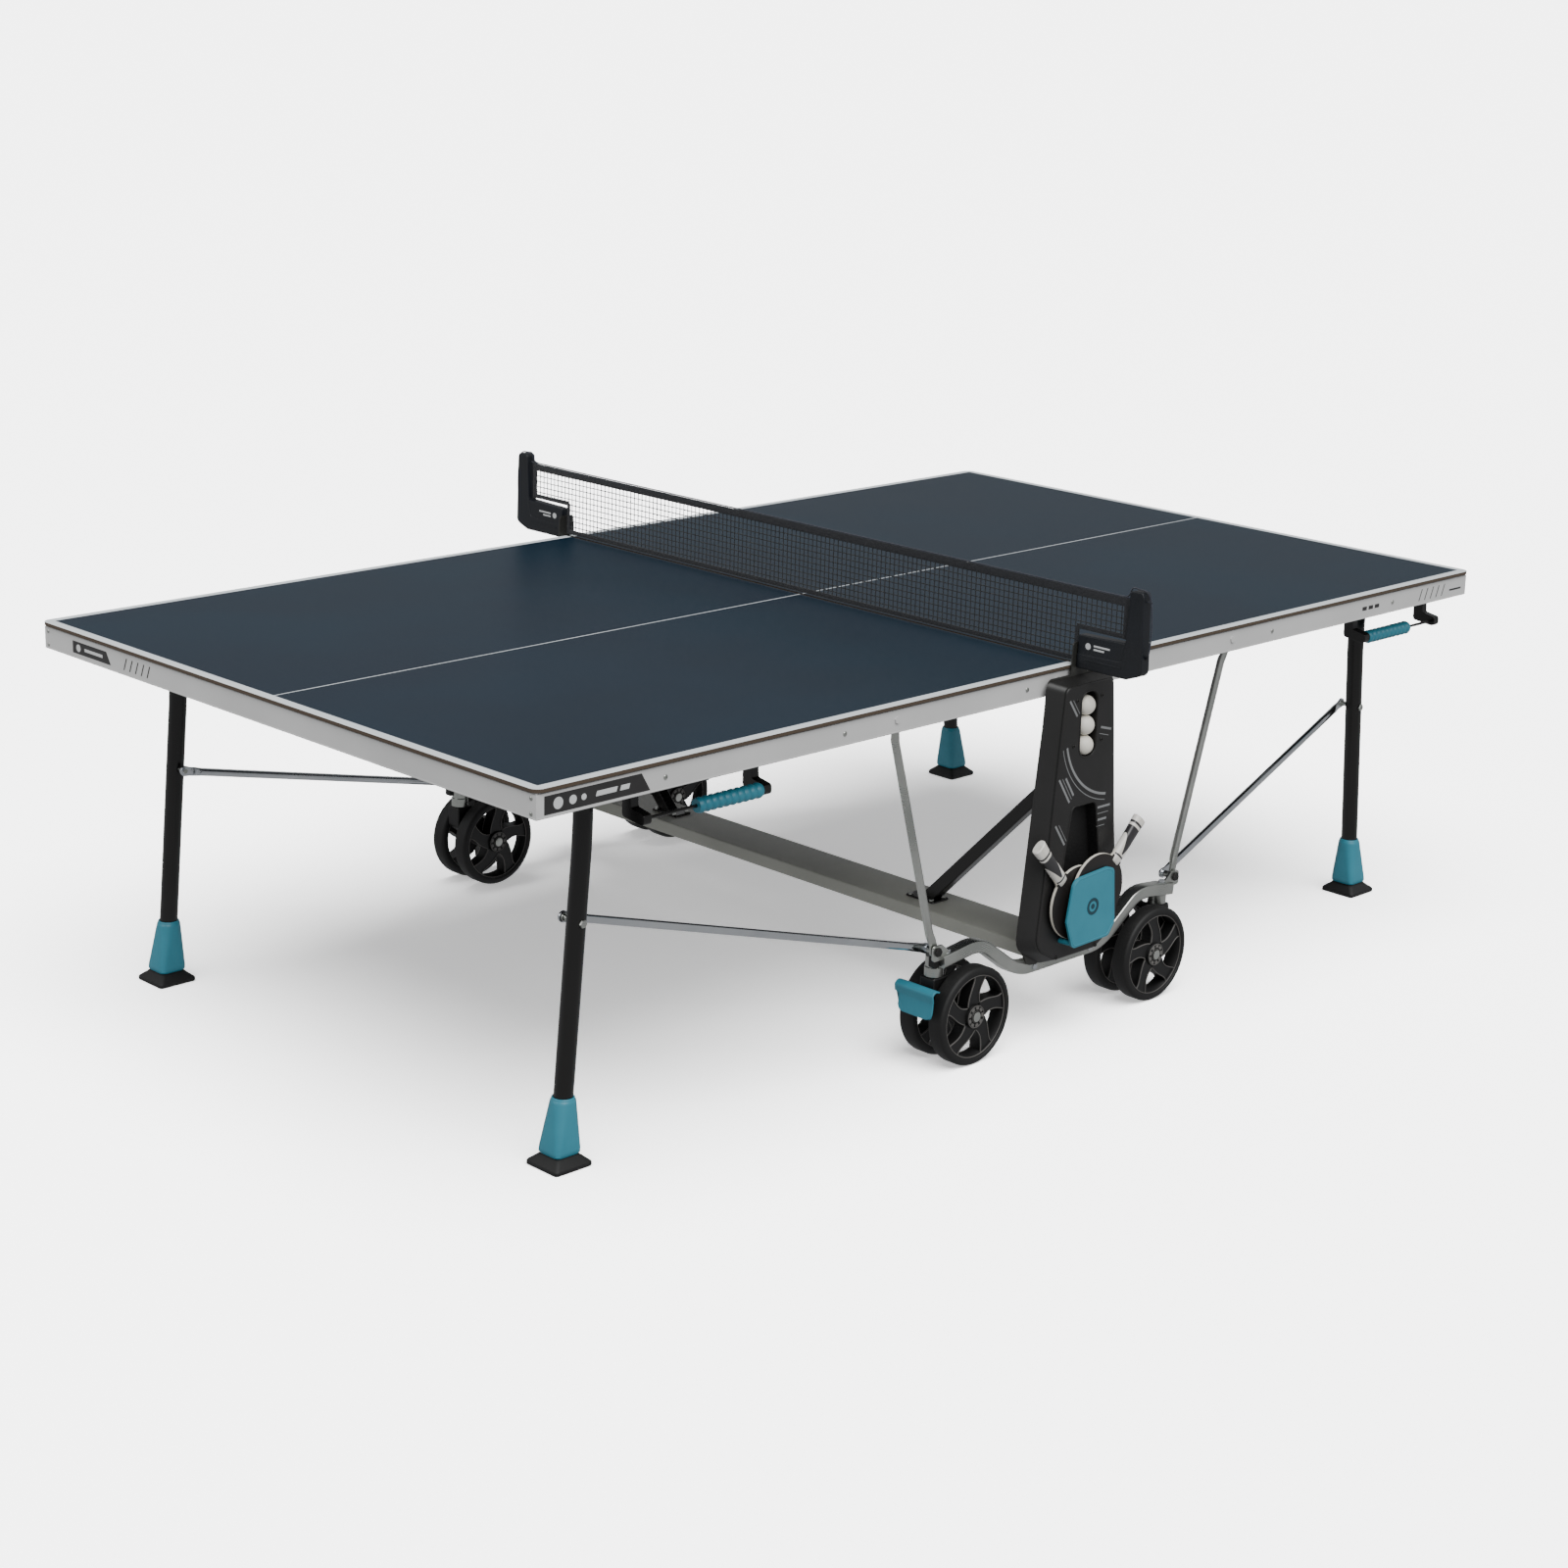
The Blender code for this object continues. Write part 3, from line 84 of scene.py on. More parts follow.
def placeCamera():
    az, el, roll = view["azimuth"], view["elevation"], view["roll"]
    back = np.array([math.sin(az) * math.cos(el), -math.cos(az) * math.cos(el), math.sin(el)])
    right = np.array([math.cos(az), math.sin(az), 0.0])
    up = np.cross(back, right)
    camera = bpy.data.objects.new("camera", bpy.data.cameras.new("camera"))
    camera.data.lens = view["lens"]
    camera.data.sensor_width = 36.0
    columns = np.eye(4)
    columns[:3, :3] = np.stack([right * math.cos(roll) + up * math.sin(roll),
                                up * math.cos(roll) - right * math.sin(roll), back], 1)
    columns[:3, 3] = view["place"]
    camera.matrix_world = Matrix(columns.tolist())
    bpy.context.collection.objects.link(camera)
    bpy.context.scene.camera = camera


class Wire:
    # A socket that can be used in sums: each operator adds one Math node.
    def __init__(self, finish, socket):
        self.finish, self.socket = finish, socket

    def math(self, operation, *others):
        return self.finish.node("ShaderNodeMath", {"operation": operation}, dict(enumerate((self, *others))))

    def __add__(self, other): return self.math("ADD", other)
    def __sub__(self, other): return self.math("SUBTRACT", other)
    def __mul__(self, other): return self.math("MULTIPLY", other)
    def __gt__(self, other): return self.math("GREATER_THAN", other)
    def __lt__(self, other): return self.math("LESS_THAN", other)
    def __abs__(self): return self.math("ABSOLUTE")
    def sin(self): return self.math("SINE")
    def most(self, other): return self.math("MAXIMUM", other)

    def step(self, low, high):
        # 0 below low, 1 above high, smooth between them.
        return self.finish.node("ShaderNodeMapRange", {"interpolation_type": "SMOOTHSTEP"},
                                {0: self, 1: low, 2: high, 3: 0.0, 4: 1.0})


class Finish:
    # One material: its nodes are made by node(), and set() feeds the shader.
    def __init__(self, name, colour, roughness, **fixed):
        self.material = bpy.data.materials.new(name)
        self.material.use_nodes = True
        self.tree = self.material.node_tree
        self.shader = self.tree.nodes["Principled BSDF"]
        for socket, value in {"Base Color": srgb(colour), "Roughness": roughness, **fixed}.items():
            self.shader.inputs[socket.replace("_", " ")].default_value = value

    def node(self, kind, settings=None, sockets=None, out=0):
        made = self.tree.nodes.new(kind)
        for key, value in (settings or {}).items():
            setattr(made, key, value)
        for key, value in (sockets or {}).items():
            if isinstance(value, Wire):
                self.tree.links.new(value.socket, made.inputs[key])
            else:
                made.inputs[key].default_value = srgb(value) if isinstance(value, str) else value
        return Wire(self, made.outputs[out])

    def here(self):
        # Object coordinates.
        return self.node("ShaderNodeTexCoord", out=3)

    def place(self, centre=(0, 0, 0), turn=(0, 0, 0), scale=(1, 1, 1)):
        # Object coordinates, centred, turned and scaled.
        return self.node("ShaderNodeMapping", {"vector_type": "TEXTURE"}, {0: self.here(), 1: centre, 2: turn, 3: scale})

    def axes(self, vector=None):
        split = self.node("ShaderNodeSeparateXYZ", None, {0: vector or self.here()})
        return [Wire(self, out) for out in split.socket.node.outputs]

    def noise(self, scale, detail=3.0, vector=None):
        return self.node("ShaderNodeTexNoise", None, {"Vector": vector or self.here(), "Scale": scale, "Detail": detail})

    def mix(self, factor, first, second):
        return self.node("ShaderNodeMix", {"data_type": "RGBA"}, {0: factor, 6: first, 7: second}, 2)

    def set(self, socket, wire):
        self.tree.links.new(wire.socket, self.shader.inputs[socket])

    def bump(self, height, distance, strength):
        sockets = {"Strength": strength, "Distance": distance, "Height": height}
        self.set("Normal", self.node("ShaderNodeBump", None, sockets))

    def vary(self, light, dark, scale, low, high):
        # Base colour drifting between two shades, and roughness between two values, with one noise.
        cloud = self.noise(scale, 4.0)
        self.set("Base Color", self.mix(cloud.step(0.3, 0.7), dark, light))
        self.set("Roughness", cloud * (high - low) + low)


boardHalfWidth = float(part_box("left_panel")[1][1])
boardLow, boardTop = (float(corner[2]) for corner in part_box("left_panel"))
surfaceLook = {"board": "#0b1f2e", "boardLight": "#0e2433", "side": "#54493f", "under": "#23282d", "line": "#dfe5e8",
               "border": 0.020, "centre": 0.0032}
handleLook = {"varnish": "#e9e6df", "pale": "#efece6", "paler": "#dcd8ce", "dark": "#2b2a2c",
              "wedge": (0.088, 0.150), "wedgeTip": 0.080, "wedgeSlope": 0.28, "bands": ((0.156, 0.161), (0.080, 0.084))}


def makeSurfaceFinish():
    f = Finish("playingSurface", surfaceLook["board"], 0.42, Specular_IOR_Level=0.12)
    x, y, z = f.axes()
    border = abs(x) > cadBounds[1][0] - surfaceLook["border"]
    border = border.most(abs(y) > boardHalfWidth - surfaceLook["border"])
    lines = border.most(abs(y) < surfaceLook["centre"] / 2)
    cloud = f.noise(2.2)
    grain = f.noise(900.0, 2.0)
    board = f.mix(cloud.step(0.35, 0.65), surfaceLook["board"], surfaceLook["boardLight"])
    flat = f.mix(lines, board, surfaceLook["line"])
    edge = f.mix(z < boardLow + 0.0005, surfaceLook["side"], surfaceLook["under"])
    f.set("Base Color", f.mix(z < boardTop - 0.0007, flat, edge))
    f.set("Roughness", cloud * 0.05 + 0.36 + lines * 0.06)
    f.bump(grain + lines * 0.4, 0.00025, 0.5)
    return f.material


def makePaintFinish(name, light, dark, low, high):
    # Sprayed paint: a slow drift of shade and a fine orange-peel bump.
    f = Finish(name, light, low)
    f.vary(light, dark, 5.0, low, high)
    f.bump(f.noise(420.0, 2.0), 0.0002, 0.35)
    return f.material


def makeMetalFinish(name, light, dark, low, high, drawn):
    # Plated steel: cloudy plating with fine scratches.
    f = Finish(name, light, low, Metallic=1.0)
    cloud = f.noise(7.0)
    scratch = f.noise(60.0, vector=f.place(scale=(1.0, 1.0, 0.04)))
    f.set("Base Color", f.mix(cloud.step(0.3, 0.75), dark, light))
    f.set("Roughness", cloud * (high - low) + low + scratch * drawn)
    f.bump(scratch, 0.00002, 0.2)
    return f.material


def makePlasticFinish(name, light, dark, low, high, grainScale=700.0, grain=0.0003):
    # Moulded plastic: a fine spark-eroded grain and a slight shade drift.
    f = Finish(name, light, low)
    f.vary(light, dark, 9.0, low, high)
    f.bump(f.noise(grainScale, 2.0), grain, 0.5)
    return f.material


def makeNetFinish(name, light, dark, pitch):
    # Woven tape: crossed threads of the given pitch.
    f = Finish(name, light, 0.85, Sheen_Weight=0.25)
    _, y, z = f.axes()
    turn = 2 * math.pi / pitch
    weave = ((y * turn).sin() * (z * turn).sin()).step(-0.6, 0.6)
    f.set("Base Color", f.mix(weave, dark, light))
    f.bump(weave, 0.0004, 0.8)
    return f.material


def makeRubberFinish(name, light, dark):
    # Bat rubber: a field of fine pimples under a smooth sheet.
    f = Finish(name, light, 0.5)
    dots = f.node("ShaderNodeTexVoronoi", None, {"Vector": f.here(), "Scale": 480.0})
    f.set("Base Color", f.mix(f.noise(14.0, 4.0).step(0.35, 0.7), dark, light))
    f.set("Roughness", f.noise(30.0) * 0.15 + 0.42)
    f.bump(dots, 0.0002, 0.35)
    return f.material


def makeHandleFinish(name, centre, turn):
    # Bat handle: pale varnish with dark bands and a dark wedge, along the handle's own axis.
    look = handleLook
    f = Finish(name, look["varnish"], 0.35, Coat_Weight=0.3)
    x, _, z = f.axes(f.place(centre=centre, turn=(0, turn, 0)))
    start, end = look["wedge"]
    wedge = (abs(z) < (x - look["wedgeTip"]) * look["wedgeSlope"]) * (x > start) * (x < end)
    first, second = [(x > low) * (x < high) for low, high in look["bands"]]
    dark = wedge.most(first.most(second))
    wood = f.noise(90.0, 4.0, vector=f.place(centre=centre, turn=(0, turn, 0), scale=(6.0, 1.0, 1.0)))
    pale = f.mix(wood.step(0.4, 0.7), look["pale"], look["paler"])
    f.set("Base Color", f.mix(dark, pale, look["dark"]))
    f.set("Roughness", wood * 0.1 + 0.3)
    return f.material


# short name: slot, maker, and what the maker takes: name, light and dark shade, low and high roughness, grain
palette = {
    "apron": ("apron_grey", makePaintFinish, "apronPaint", "#d0d0cf", "#c7c7c6", 0.34, 0.42),
    "black": ("black_paint", makePaintFinish, "blackPaint", "#12110f", "#0d0c0b", 0.20, 0.30),
    "chassis": ("chassis_paint", makePaintFinish, "chassisPaint", "#a8a9a1", "#9c9d95", 0.32, 0.42),
    "plateSteel": ("", makePaintFinish, "plateSteel", "#2e2e2b", "#262624", 0.34, 0.44),
    "zinc": ("zinc_plate", makeMetalFinish, "zincPlate", "#c9cbc6", "#adb0ab", 0.20, 0.32, 0.04),
    "chrome": ("chrome", makeMetalFinish, "chromePlate", "#d6d9dc", "#c2c6ca", 0.08, 0.16, 0.03),
    "shroud": ("shroud_plastic", makePlasticFinish, "shroudPlastic", "#201f1f", "#1a1a19", 0.42, 0.52, 800.0),
    "print": ("shroud_plastic", makePlasticFinish, "shroudPrint", "#8b8d8e", "#7e8081", 0.36, 0.44, 900.0, 0.0001),
    "teal": ("teal_plastic", makePlasticFinish, "tealPlastic", "#35879b", "#2f7e92", 0.36, 0.46),
    "tealDark": ("teal_plastic", makePlasticFinish, "tealDark", "#0f3d49", "#0c3640", 0.40, 0.50),
    "wheel": ("wheel_plastic", makePlasticFinish, "wheelPlastic", "#0b0b0b", "#080808", 0.42, 0.54),
    "ridge": ("wheel_plastic", makePlasticFinish, "ridgePlastic", "#6b6966", "#5c5a58", 0.45, 0.55),
    "tread": ("wheel_plastic", makePlasticFinish, "treadRubber", "#0d0d0d", "#0a0a0a", 0.55, 0.68, 320.0, 0.0005),
    "pocket": ("shroud_plastic", makePlasticFinish, "pocketPlastic", "#0c0c0c", "#070707", 0.55, 0.70, 190.0, 0.0020),
    "navy": ("net_plastic", makePlasticFinish, "navyPlastic", "#090f18", "#070b12", 0.42, 0.52),
    "tape": ("net_fabric", makeNetFinish, "tapeWeave", "#0a0f19", "#060910", 0.0016),
    "thread": ("net_fabric", makeNetFinish, "netThread", "#070a10", "#040609", 0.0010),
    "cord": ("cord_fibre", makeNetFinish, "cordBraid", "#23283a", "#141826", 0.0012),
    "ball": ("net_plastic", makePlasticFinish, "ballPlastic", "#f3f0e6", "#ebe7da", 0.42, 0.50, 500.0, 0.0001),
    "rubber": ("bat_rubber", makeRubberFinish, "batRubber", "#1d1816", "#161211"),
    "edge": ("bat_rubber", makePlasticFinish, "batEdge", "#e8e4d8", "#d8d2c2", 0.50, 0.62, 260.0, 0.0003),
    "seam": ("black_rubber", makePlasticFinish, "seamStrip", "#4a433d", "#3d3732", 0.60, 0.70),
    "decal": ("black_paint", makePlasticFinish, "decalDark", "#2b2a2a", "#252424", 0.36, 0.42, 900.0, 0.0001),
    "decalPale": ("apron_grey", makePlasticFinish, "decalPale", "#d6d8d8", "#cdcfcf", 0.36, 0.42, 900.0, 0.0001)}
finishes = {"surface": makeSurfaceFinish(), **{key: row[1](*row[2:]) for key, row in palette.items()}}
print("materials:", len(finishes))

axisPlace = {"x": lambda u, v, t: (t, u, v), "y": lambda u, v, t: (u, t, v), "z": lambda u, v, t: (u, v, t)}


def skin(rings, closeRings=False):
    # Quads between rings given as an array (ring, point, xyz); the ends are capped, or the rings close on themselves.
    rings = np.asarray(rings, float)
    count, size = rings.shape[:2]
    i = np.arange(count if closeRings else count - 1)[:, None]
    j = np.arange(size)[None, :]
    nextRing = (i + 1) % count * size
    quads = np.stack([i * size + j, i * size + (j + 1) % size, nextRing + (j + 1) % size, nextRing + j], -1)
    faces = quads.reshape(-1, 4).tolist()
    if not closeRings:
        faces += [list(range(size))[::-1], list(range((count - 1) * size, count * size))]
    return rings.reshape(-1, 3), faces


def ringSection(radius, count=24):
    a = np.arange(count) * 2 * np.pi / count
    return np.stack([np.cos(a), np.sin(a)], 1) * radius


def squared(wide, high, power, steps=24):
    # superellipse: |u/wide|^power + |v/high|^power = 1; power 2 is an ellipse, 8 is nearly a rectangle
    c, s = ringSection(1.0, steps).T
    return np.stack([wide * np.sign(c) * np.abs(c) ** (2 / power), high * np.sign(s) * np.abs(s) ** (2 / power)], 1)


def ease(t):
    return t * t * (3 - 2 * t)


def unit(v):
    return v / np.linalg.norm(v, axis=-1, keepdims=True)


def roundOutline(corners, steps=5):
    # Outline through (u, v, radius) corners, each turned into an arc of that radius.
    pts = np.array([c[:2] for c in corners], float)
    out = []
    for k, (u, v, radius) in enumerate(corners):
        here = pts[k]
        if radius <= 0:
            out.append(here[None])
            continue
        before, after = unit(pts[k - 1] - here), unit(pts[(k + 1) % len(pts)] - here)
        half = math.acos(float(np.clip(before @ after, -1, 1))) / 2
        middle = here + unit(before + after) * radius / math.sin(half)
        start = here + before * radius / math.tan(half) - middle
        turn = (math.pi - 2 * half) * (1 if before[0] * after[1] - before[1] * after[0] < 0 else -1)
        a = np.linspace(0, turn, steps + 1)
        out.append(middle + np.stack([start[0] * np.cos(a) - start[1] * np.sin(a),
                                      start[0] * np.sin(a) + start[1] * np.cos(a)], 1))
    return np.concatenate(out)


def boxSection(width, height, radius, steps=4):
    w, h = width / 2, height / 2
    return roundOutline([(-w, -h, radius), (w, -h, radius), (w, h, radius), (-w, h, radius)], steps)


def flipped(corners, s):
    return [(s * u, v, r) for u, v, r in corners]


def bothSides(corners):
    return corners + flipped(reversed(corners), -1)


def roundLine(points, radius, steps=6):
    # Open line of 3-D points with its inner corners rounded by a quadratic curve.
    pts = np.array(points, float)
    out = [pts[:1]]
    t = np.linspace(0, 1, steps + 1)[:, None]
    for a, b, c in zip(pts[:-2], pts[1:-1], pts[2:]):
        reach = min(radius, np.linalg.norm(a - b) * 0.48, np.linalg.norm(c - b) * 0.48)
        p, q = b + unit(a - b) * reach, b + unit(c - b) * reach
        out.append((1 - t) ** 2 * p + 2 * t * (1 - t) * b + t ** 2 * q)
    return np.concatenate(out + [pts[-1:]])


def smoothLine(points, perSpan=6):
    # Catmull-Rom curve through the points.
    p = np.array(points, float)
    p = np.concatenate([2 * p[:1] - p[1:2], p, 2 * p[-1:] - p[-2:-1]])
    t = (np.arange(perSpan) / perSpan)[:, None]
    spans = [0.5 * (2 * b + (c - a) * t + (2 * a - 5 * b + 4 * c - d) * t ** 2 + (3 * b - a - 3 * c + d) * t ** 3)
             for a, b, c, d in zip(p[:-3], p[1:-2], p[2:-1], p[3:])]
    return np.concatenate(spans + [p[-2:-1]])


def sweep(path, section, up=(0, 0, 1)):
    # A section of (u, v) points carried along the path with its v towards up.
    path = np.asarray(path, float)
    along = unit(np.gradient(path, axis=0))
    side = unit(np.cross(along, np.asarray(up, float)))
    over = np.cross(side, along)
    return skin(path[:, None] + side[:, None] * section[:, :1] + over[:, None] * section[:, 1:])


def lofted(outlines, levels, axis="z", closeRings=False):
    # Skin through outlines of equal length at levels along an axis.
    rings = [np.stack(axisPlace[axis](*np.asarray(o, float).T, np.full(len(o), t)), 1) for o, t in zip(outlines, levels)]
    return skin(rings, closeRings)


def plate(outline, low, high, axis="y"):
    # Outline (u, v) extruded from low to high along an axis.
    return lofted([outline] * 2, sorted((low, high)), axis)


def bar(u0, u1, v0, v1, low, high, axis="y", slant=0.0):
    # Four-sided plate between two u and two v, its v1 edge shifted along u by slant.
    return plate([(u0, v0), (u0 + slant, v1), (u1 + slant, v1), (u1, v0)], low, high, axis)


def turned(profile, centre, axis="y", steps=48, closed=True):
    # Profile (along, radius) turned about an axis through centre; an open one starts and ends on the axis.
    t, r = np.asarray(profile, float).T
    a = (np.arange(steps) * 2 * np.pi / steps)[:, None]
    rings = np.stack(axisPlace[axis](r * np.cos(a), r * np.sin(a), t + 0 * a), -1) + np.asarray(centre, float)
    return skin(rings, True) if closed else skin(rings.transpose(1, 0, 2))


def spun(profile, centre, axis="y", steps=24, tip=0.0004):
    # Turned solid whose profile is closed towards the axis at both ends.
    return turned([(profile[0][0], tip), *profile, (profile[-1][0], tip)], centre, axis, steps, False)


def disc(centre, radius, low, high, axis="y", steps=32):
    # Round slab or pin between two places along an axis through centre.
    return spun([(low, radius), (high, radius)], centre, axis, steps, 0.0003)


def pinAt(x, z, y0, y1, radius):
    return disc((x, 0, z), radius, *sorted((y0, y1)), "y", 24)


def domedHead(centre, radius, height, axis="y", direction=1):
    # Screw head: a low dome with a sunken middle, standing on centre.
    profile = [(0, 0.0004), (0, radius), (0.35, radius), (0.75, radius * 0.82), (1, radius * 0.5), (1, radius * 0.34),
               (0.35, radius * 0.26), (0.35, 0.0004)]
    return turned([(t * height * direction, r) for t, r in profile], centre, axis, 18, False)


def hexHead(centre, radius, height, axis="y", direction=1):
    # Six-sided nut with chamfered corners.
    o, index = np.asarray(centre, float), "xyz".index(axis)
    shifted = [ringSection(radius * s, 6) + np.delete(o, index) for s in (1.0, 1.0, 0.88)]
    return lofted(shifted, [o[index] + direction * h for h in (0, height * 0.8, height)], axis)


def meshObject(name, parts, material):
    # One object from several surfaces, with its faces turned out.
    starts = np.cumsum([0] + [len(v) for v, _ in parts]).tolist()
    faces = [[i + start for i in face] for start, (_, part) in zip(starts, parts) for face in part]
    mesh = bpy.data.meshes.new(name)
    mesh.from_pydata(np.concatenate([v for v, _ in parts]).tolist(), [], faces)
    bm = bmesh.new()
    bm.from_mesh(mesh)
    bmesh.ops.recalc_face_normals(bm, faces=bm.faces)
    bm.to_mesh(mesh)
    bm.free()
    mesh.materials.append(material)
    made = bpy.data.objects.new(name, mesh)
    bpy.context.collection.objects.link(made)
    return made


def carve(target, cutter):
    # Cuts a closed shape out of a piece. The cutter has the piece's material, so the cut walls have it too.
    tool = meshObject("cutter", [cutter], target.data.materials[0])
    modifier = target.modifiers.new("cut", "BOOLEAN")
    modifier.operation, modifier.solver, modifier.object = "DIFFERENCE", "EXACT", tool
    cut = bpy.data.meshes.new_from_object(target.evaluated_get(bpy.context.evaluated_depsgraph_get()))
    target.modifiers.clear()
    target.data = cut
    bpy.data.objects.remove(tool)


def piece(name, parts, body, look, replaces=(), bevel=0.0, segments=2, finish=None, cutters=()):
    # Joins surfaces into one object, cuts, bevels and shades it, and lets it ride on a body.
    made = meshObject(name, parts, finish or finishes[look])
    for cutter in cutters:
        carve(made, cutter)
    made.data.shade_smooth()
    made.data.set_sharp_from_angle(angle=math.radians(30 if cutters else 40))
    if bevel:
        modifier = made.modifiers.new("edges", "BEVEL")
        modifier.width, modifier.segments = bevel, segments
        modifier.limit_method, modifier.angle_limit = "ANGLE", math.radians(35)
    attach(made, body)
    if replaces:
        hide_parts(*replaces)
    return made


placeCamera()
print("camera placed")

net = {"pitch": 0.0125, "thread": 0.0020, "thick": 0.0008, "topTape": 0.016, "bottomTape": 0.010, "endTape": 0.014,
       "bottom": 0.7640, "top": 0.9095, "cutHeight": 0.8290, "cutY": 0.7635, "endY": 0.8855, "tape": 0.0026}


def makeNet():
    parts, tapes = [], []
    half, ends = net["endY"] - net["endTape"] / 2, net["endY"] - 0.0005
    low, top = net["bottom"] + net["bottomTape"] / 2, net["top"] - net["topTape"] / 2
    stepZ = net["cutHeight"] + net["bottomTape"] / 2      # the lower edge steps up over the posts' arms
    strip = boxSection(net["thread"], net["thick"], 0)
    for y in np.arange(-half, half + 1e-6, net["pitch"]):
        foot = stepZ if abs(y) > net["cutY"] - 0.0005 else low
        parts.append(sweep([(0, y, foot), (0, y, top)], strip, (1, 0, 0)))
    for z in np.arange(low + net["pitch"], top, net["pitch"]):
        reach = half if z > net["cutHeight"] else net["cutY"] - 0.002
        parts.append(sweep([(0.0002, -reach, z), (0.0002, reach, z)], strip, (1, 0, 0)))
    mesh = piece("netMesh", parts, "root", "thread", ("net",))

    def addTape(start, end, thick, wide, corner, up=(0, 0, 1), count=2):
        tapes.append(sweep(np.linspace(start, end, count), boxSection(net["tape"] * thick, wide, corner, 3), up))

    addTape((0, -ends, top), (0, ends, top), 1.0, net["topTape"], 0.0011, count=60)
    addTape((0, -net["cutY"], low), (0, net["cutY"], low), 0.8, net["bottomTape"], 0.0009, count=50)
    for s in (-1, 1):
        edge, step = s * (ends - net["endTape"] / 2), s * (net["cutY"] - 0.005)
        addTape((0, s * (net["cutY"] - 0.006), stepZ), (0, s * ends, stepZ), 0.8, net["bottomTape"], 0.0009)
        addTape((0, edge, net["cutHeight"]), (0, edge, net["top"]), 0.9, net["endTape"], 0.0010, (0, 1, 0))
        addTape((0, step, net["bottom"]), (0, step, stepZ), 0.85, 0.010, 0.0009, (0, 1, 0))
    tape = piece("netTapes", tapes, "root", "tape")
    print("net threads:", len(parts))


def makeNetPosts():
    w = 0.0235 / 2      # half the post's thickness
    for side, sy in sides:
        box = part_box(f"{side}_net_post")
        inner = min(abs(box[0][1]), abs(box[1][1]))
        corners = [(inner, 0.7540, 0.003), (0.8930, 0.7540, 0.018), (0.9305, 0.7680, 0.014), (0.9255, 0.9200, 0.010),
                   (0.9215, 0.9286, 0.005), (0.8925, 0.9286, 0.007), (0.8875, 0.8300, 0.010), (0.880, 0.7865, 0.006),
                   (inner, 0.7830, 0.002)]
        web = [(inner + 0.0010, 0.778, 0), (0.8875, 0.778, 0), (0.8875, 0.8240, 0.003), (inner + 0.0010, 0.8205, 0.003)]
        parts = [plate(roundOutline(flipped(line, sy)), -depth, depth, "x")
                 for line, depth in ((corners, w), (web, w * 0.90))]
        piece(f"{side}PostBody", parts, "root", "navy", (f"{side}_net_post",), bevel=0.0018, segments=3)
        marks = []      # plain pale marks on both faces of the arm: a disc and two level bars
        for s in (-1, 1):
            face, proud = s * w * 0.90, s * (w * 0.90 + 0.0004)
            marks.append(disc((0, sy * 0.796, 0.801), 0.0065, face, proud, "x"))
            marks += [bar(sy * 0.810, sy * (0.810 + long), low, low + 0.0035, face, proud, "x")
                      for low, long in ((0.8025, 0.040), (0.7955, 0.026))]
        piece(f"{side}PostMarks", marks, "root", "decalPale")
        details = [sweep([(s * w, sy * 0.790, 0.7735), (s * w, sy * 0.880, 0.7735)], boxSection(0.0016, 0.0030, 0.0006, 2))
                   for s in (-1, 1)]
        details.append(spun([(0.0, 0.0075), (0.0022, 0.0085), (0.0060, 0.0080), (0.0072, 0.0060)],
                            (w * 0.98 - 0.0085, sy * 0.911, 0.776), "x", 28))
        hook = roundLine([(0, sy * 0.924, 0.8005), (0, sy * 0.9335, 0.8022), (0, sy * 0.9345, 0.8060)], 0.004)
        details.append(sweep(hook, ringSection(0.0027, 14), (1, 0, 0)))
        piece(f"{side}PostDetails", details, "root", "navy")


def makeTensionCord():
    # Cord over the posts and along the top tape, down to the hooks.
    _, out, top = (float(v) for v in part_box("net_tension_cord")[1])
    right = [(0.800, 0.9113), (0.860, 0.9113), (0.880, 0.9153), (0.8895, 0.9317), (0.905, top - 0.0016), (0.919, 0.9308),
             (out - 0.0095, 0.9225), (out - 0.0045, 0.900), (out - 0.0016, 0.870), (out - 0.0016, 0.840),
             (out - 0.004, 0.8155), (out - 0.0062, 0.8095)]
    line = [(0, -y, z) for y, z in reversed(right)] + [(0, y, z) for y, z in right]
    cord = sweep(smoothLine(line, 5), ringSection(0.00145, 12), (1, 0, 0))
    piece("tensionCord", [cord], "root", "cord", ("net_tension_cord",))


makeNet()
makeNetPosts()
makeTensionCord()
print("net made")

board = {"cornerRadius": 0.018, "innerRadius": 0.004, "edge": 0.0012, "inset": 0.0075, "strip": 0.004}
rail = {"face": 0.7575, "end": 1.3650, "middle": 0.7275, "hemZ": 0.7066, "hem": 0.0021}
proud = 0.0004      # how far a print stands off its surface


def makeSurfaces():
    for half, sx in halves:
        low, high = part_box(f"{half}_panel")
        inner, outer = sorted((abs(low[0]), abs(high[0])))

        def inPlan(inset, innerRadius, outerRadius, steps):
            a, b, w = sx * (inner + inset), sx * (outer - inset), high[1] - inset
            return roundOutline([(a, -w, innerRadius), (b, -w, outerRadius), (b, w, outerRadius), (a, w, innerRadius)], steps)

        outline = inPlan(0, board["innerRadius"], board["cornerRadius"], 8)
        piece(f"{half}Surface", [plate(outline, low[2], high[2], "z")], f"{half}_half_top", "surface", (f"{half}_panel",),
              bevel=board["edge"], segments=3)
        # dark packing strip in the seam under the board
        wall, back = (inPlan(board["inset"] + grow, 0.002, 0.002, 2) for grow in (0, board["strip"]))
        levels = [low[2] - drop for drop in (0.0030, 0.0002, 0.0002, 0.0030)]
        piece(f"{half}SeamStrip", [lofted([wall, wall, back, back], levels, "z", True)], f"{half}_half_top", "seam")


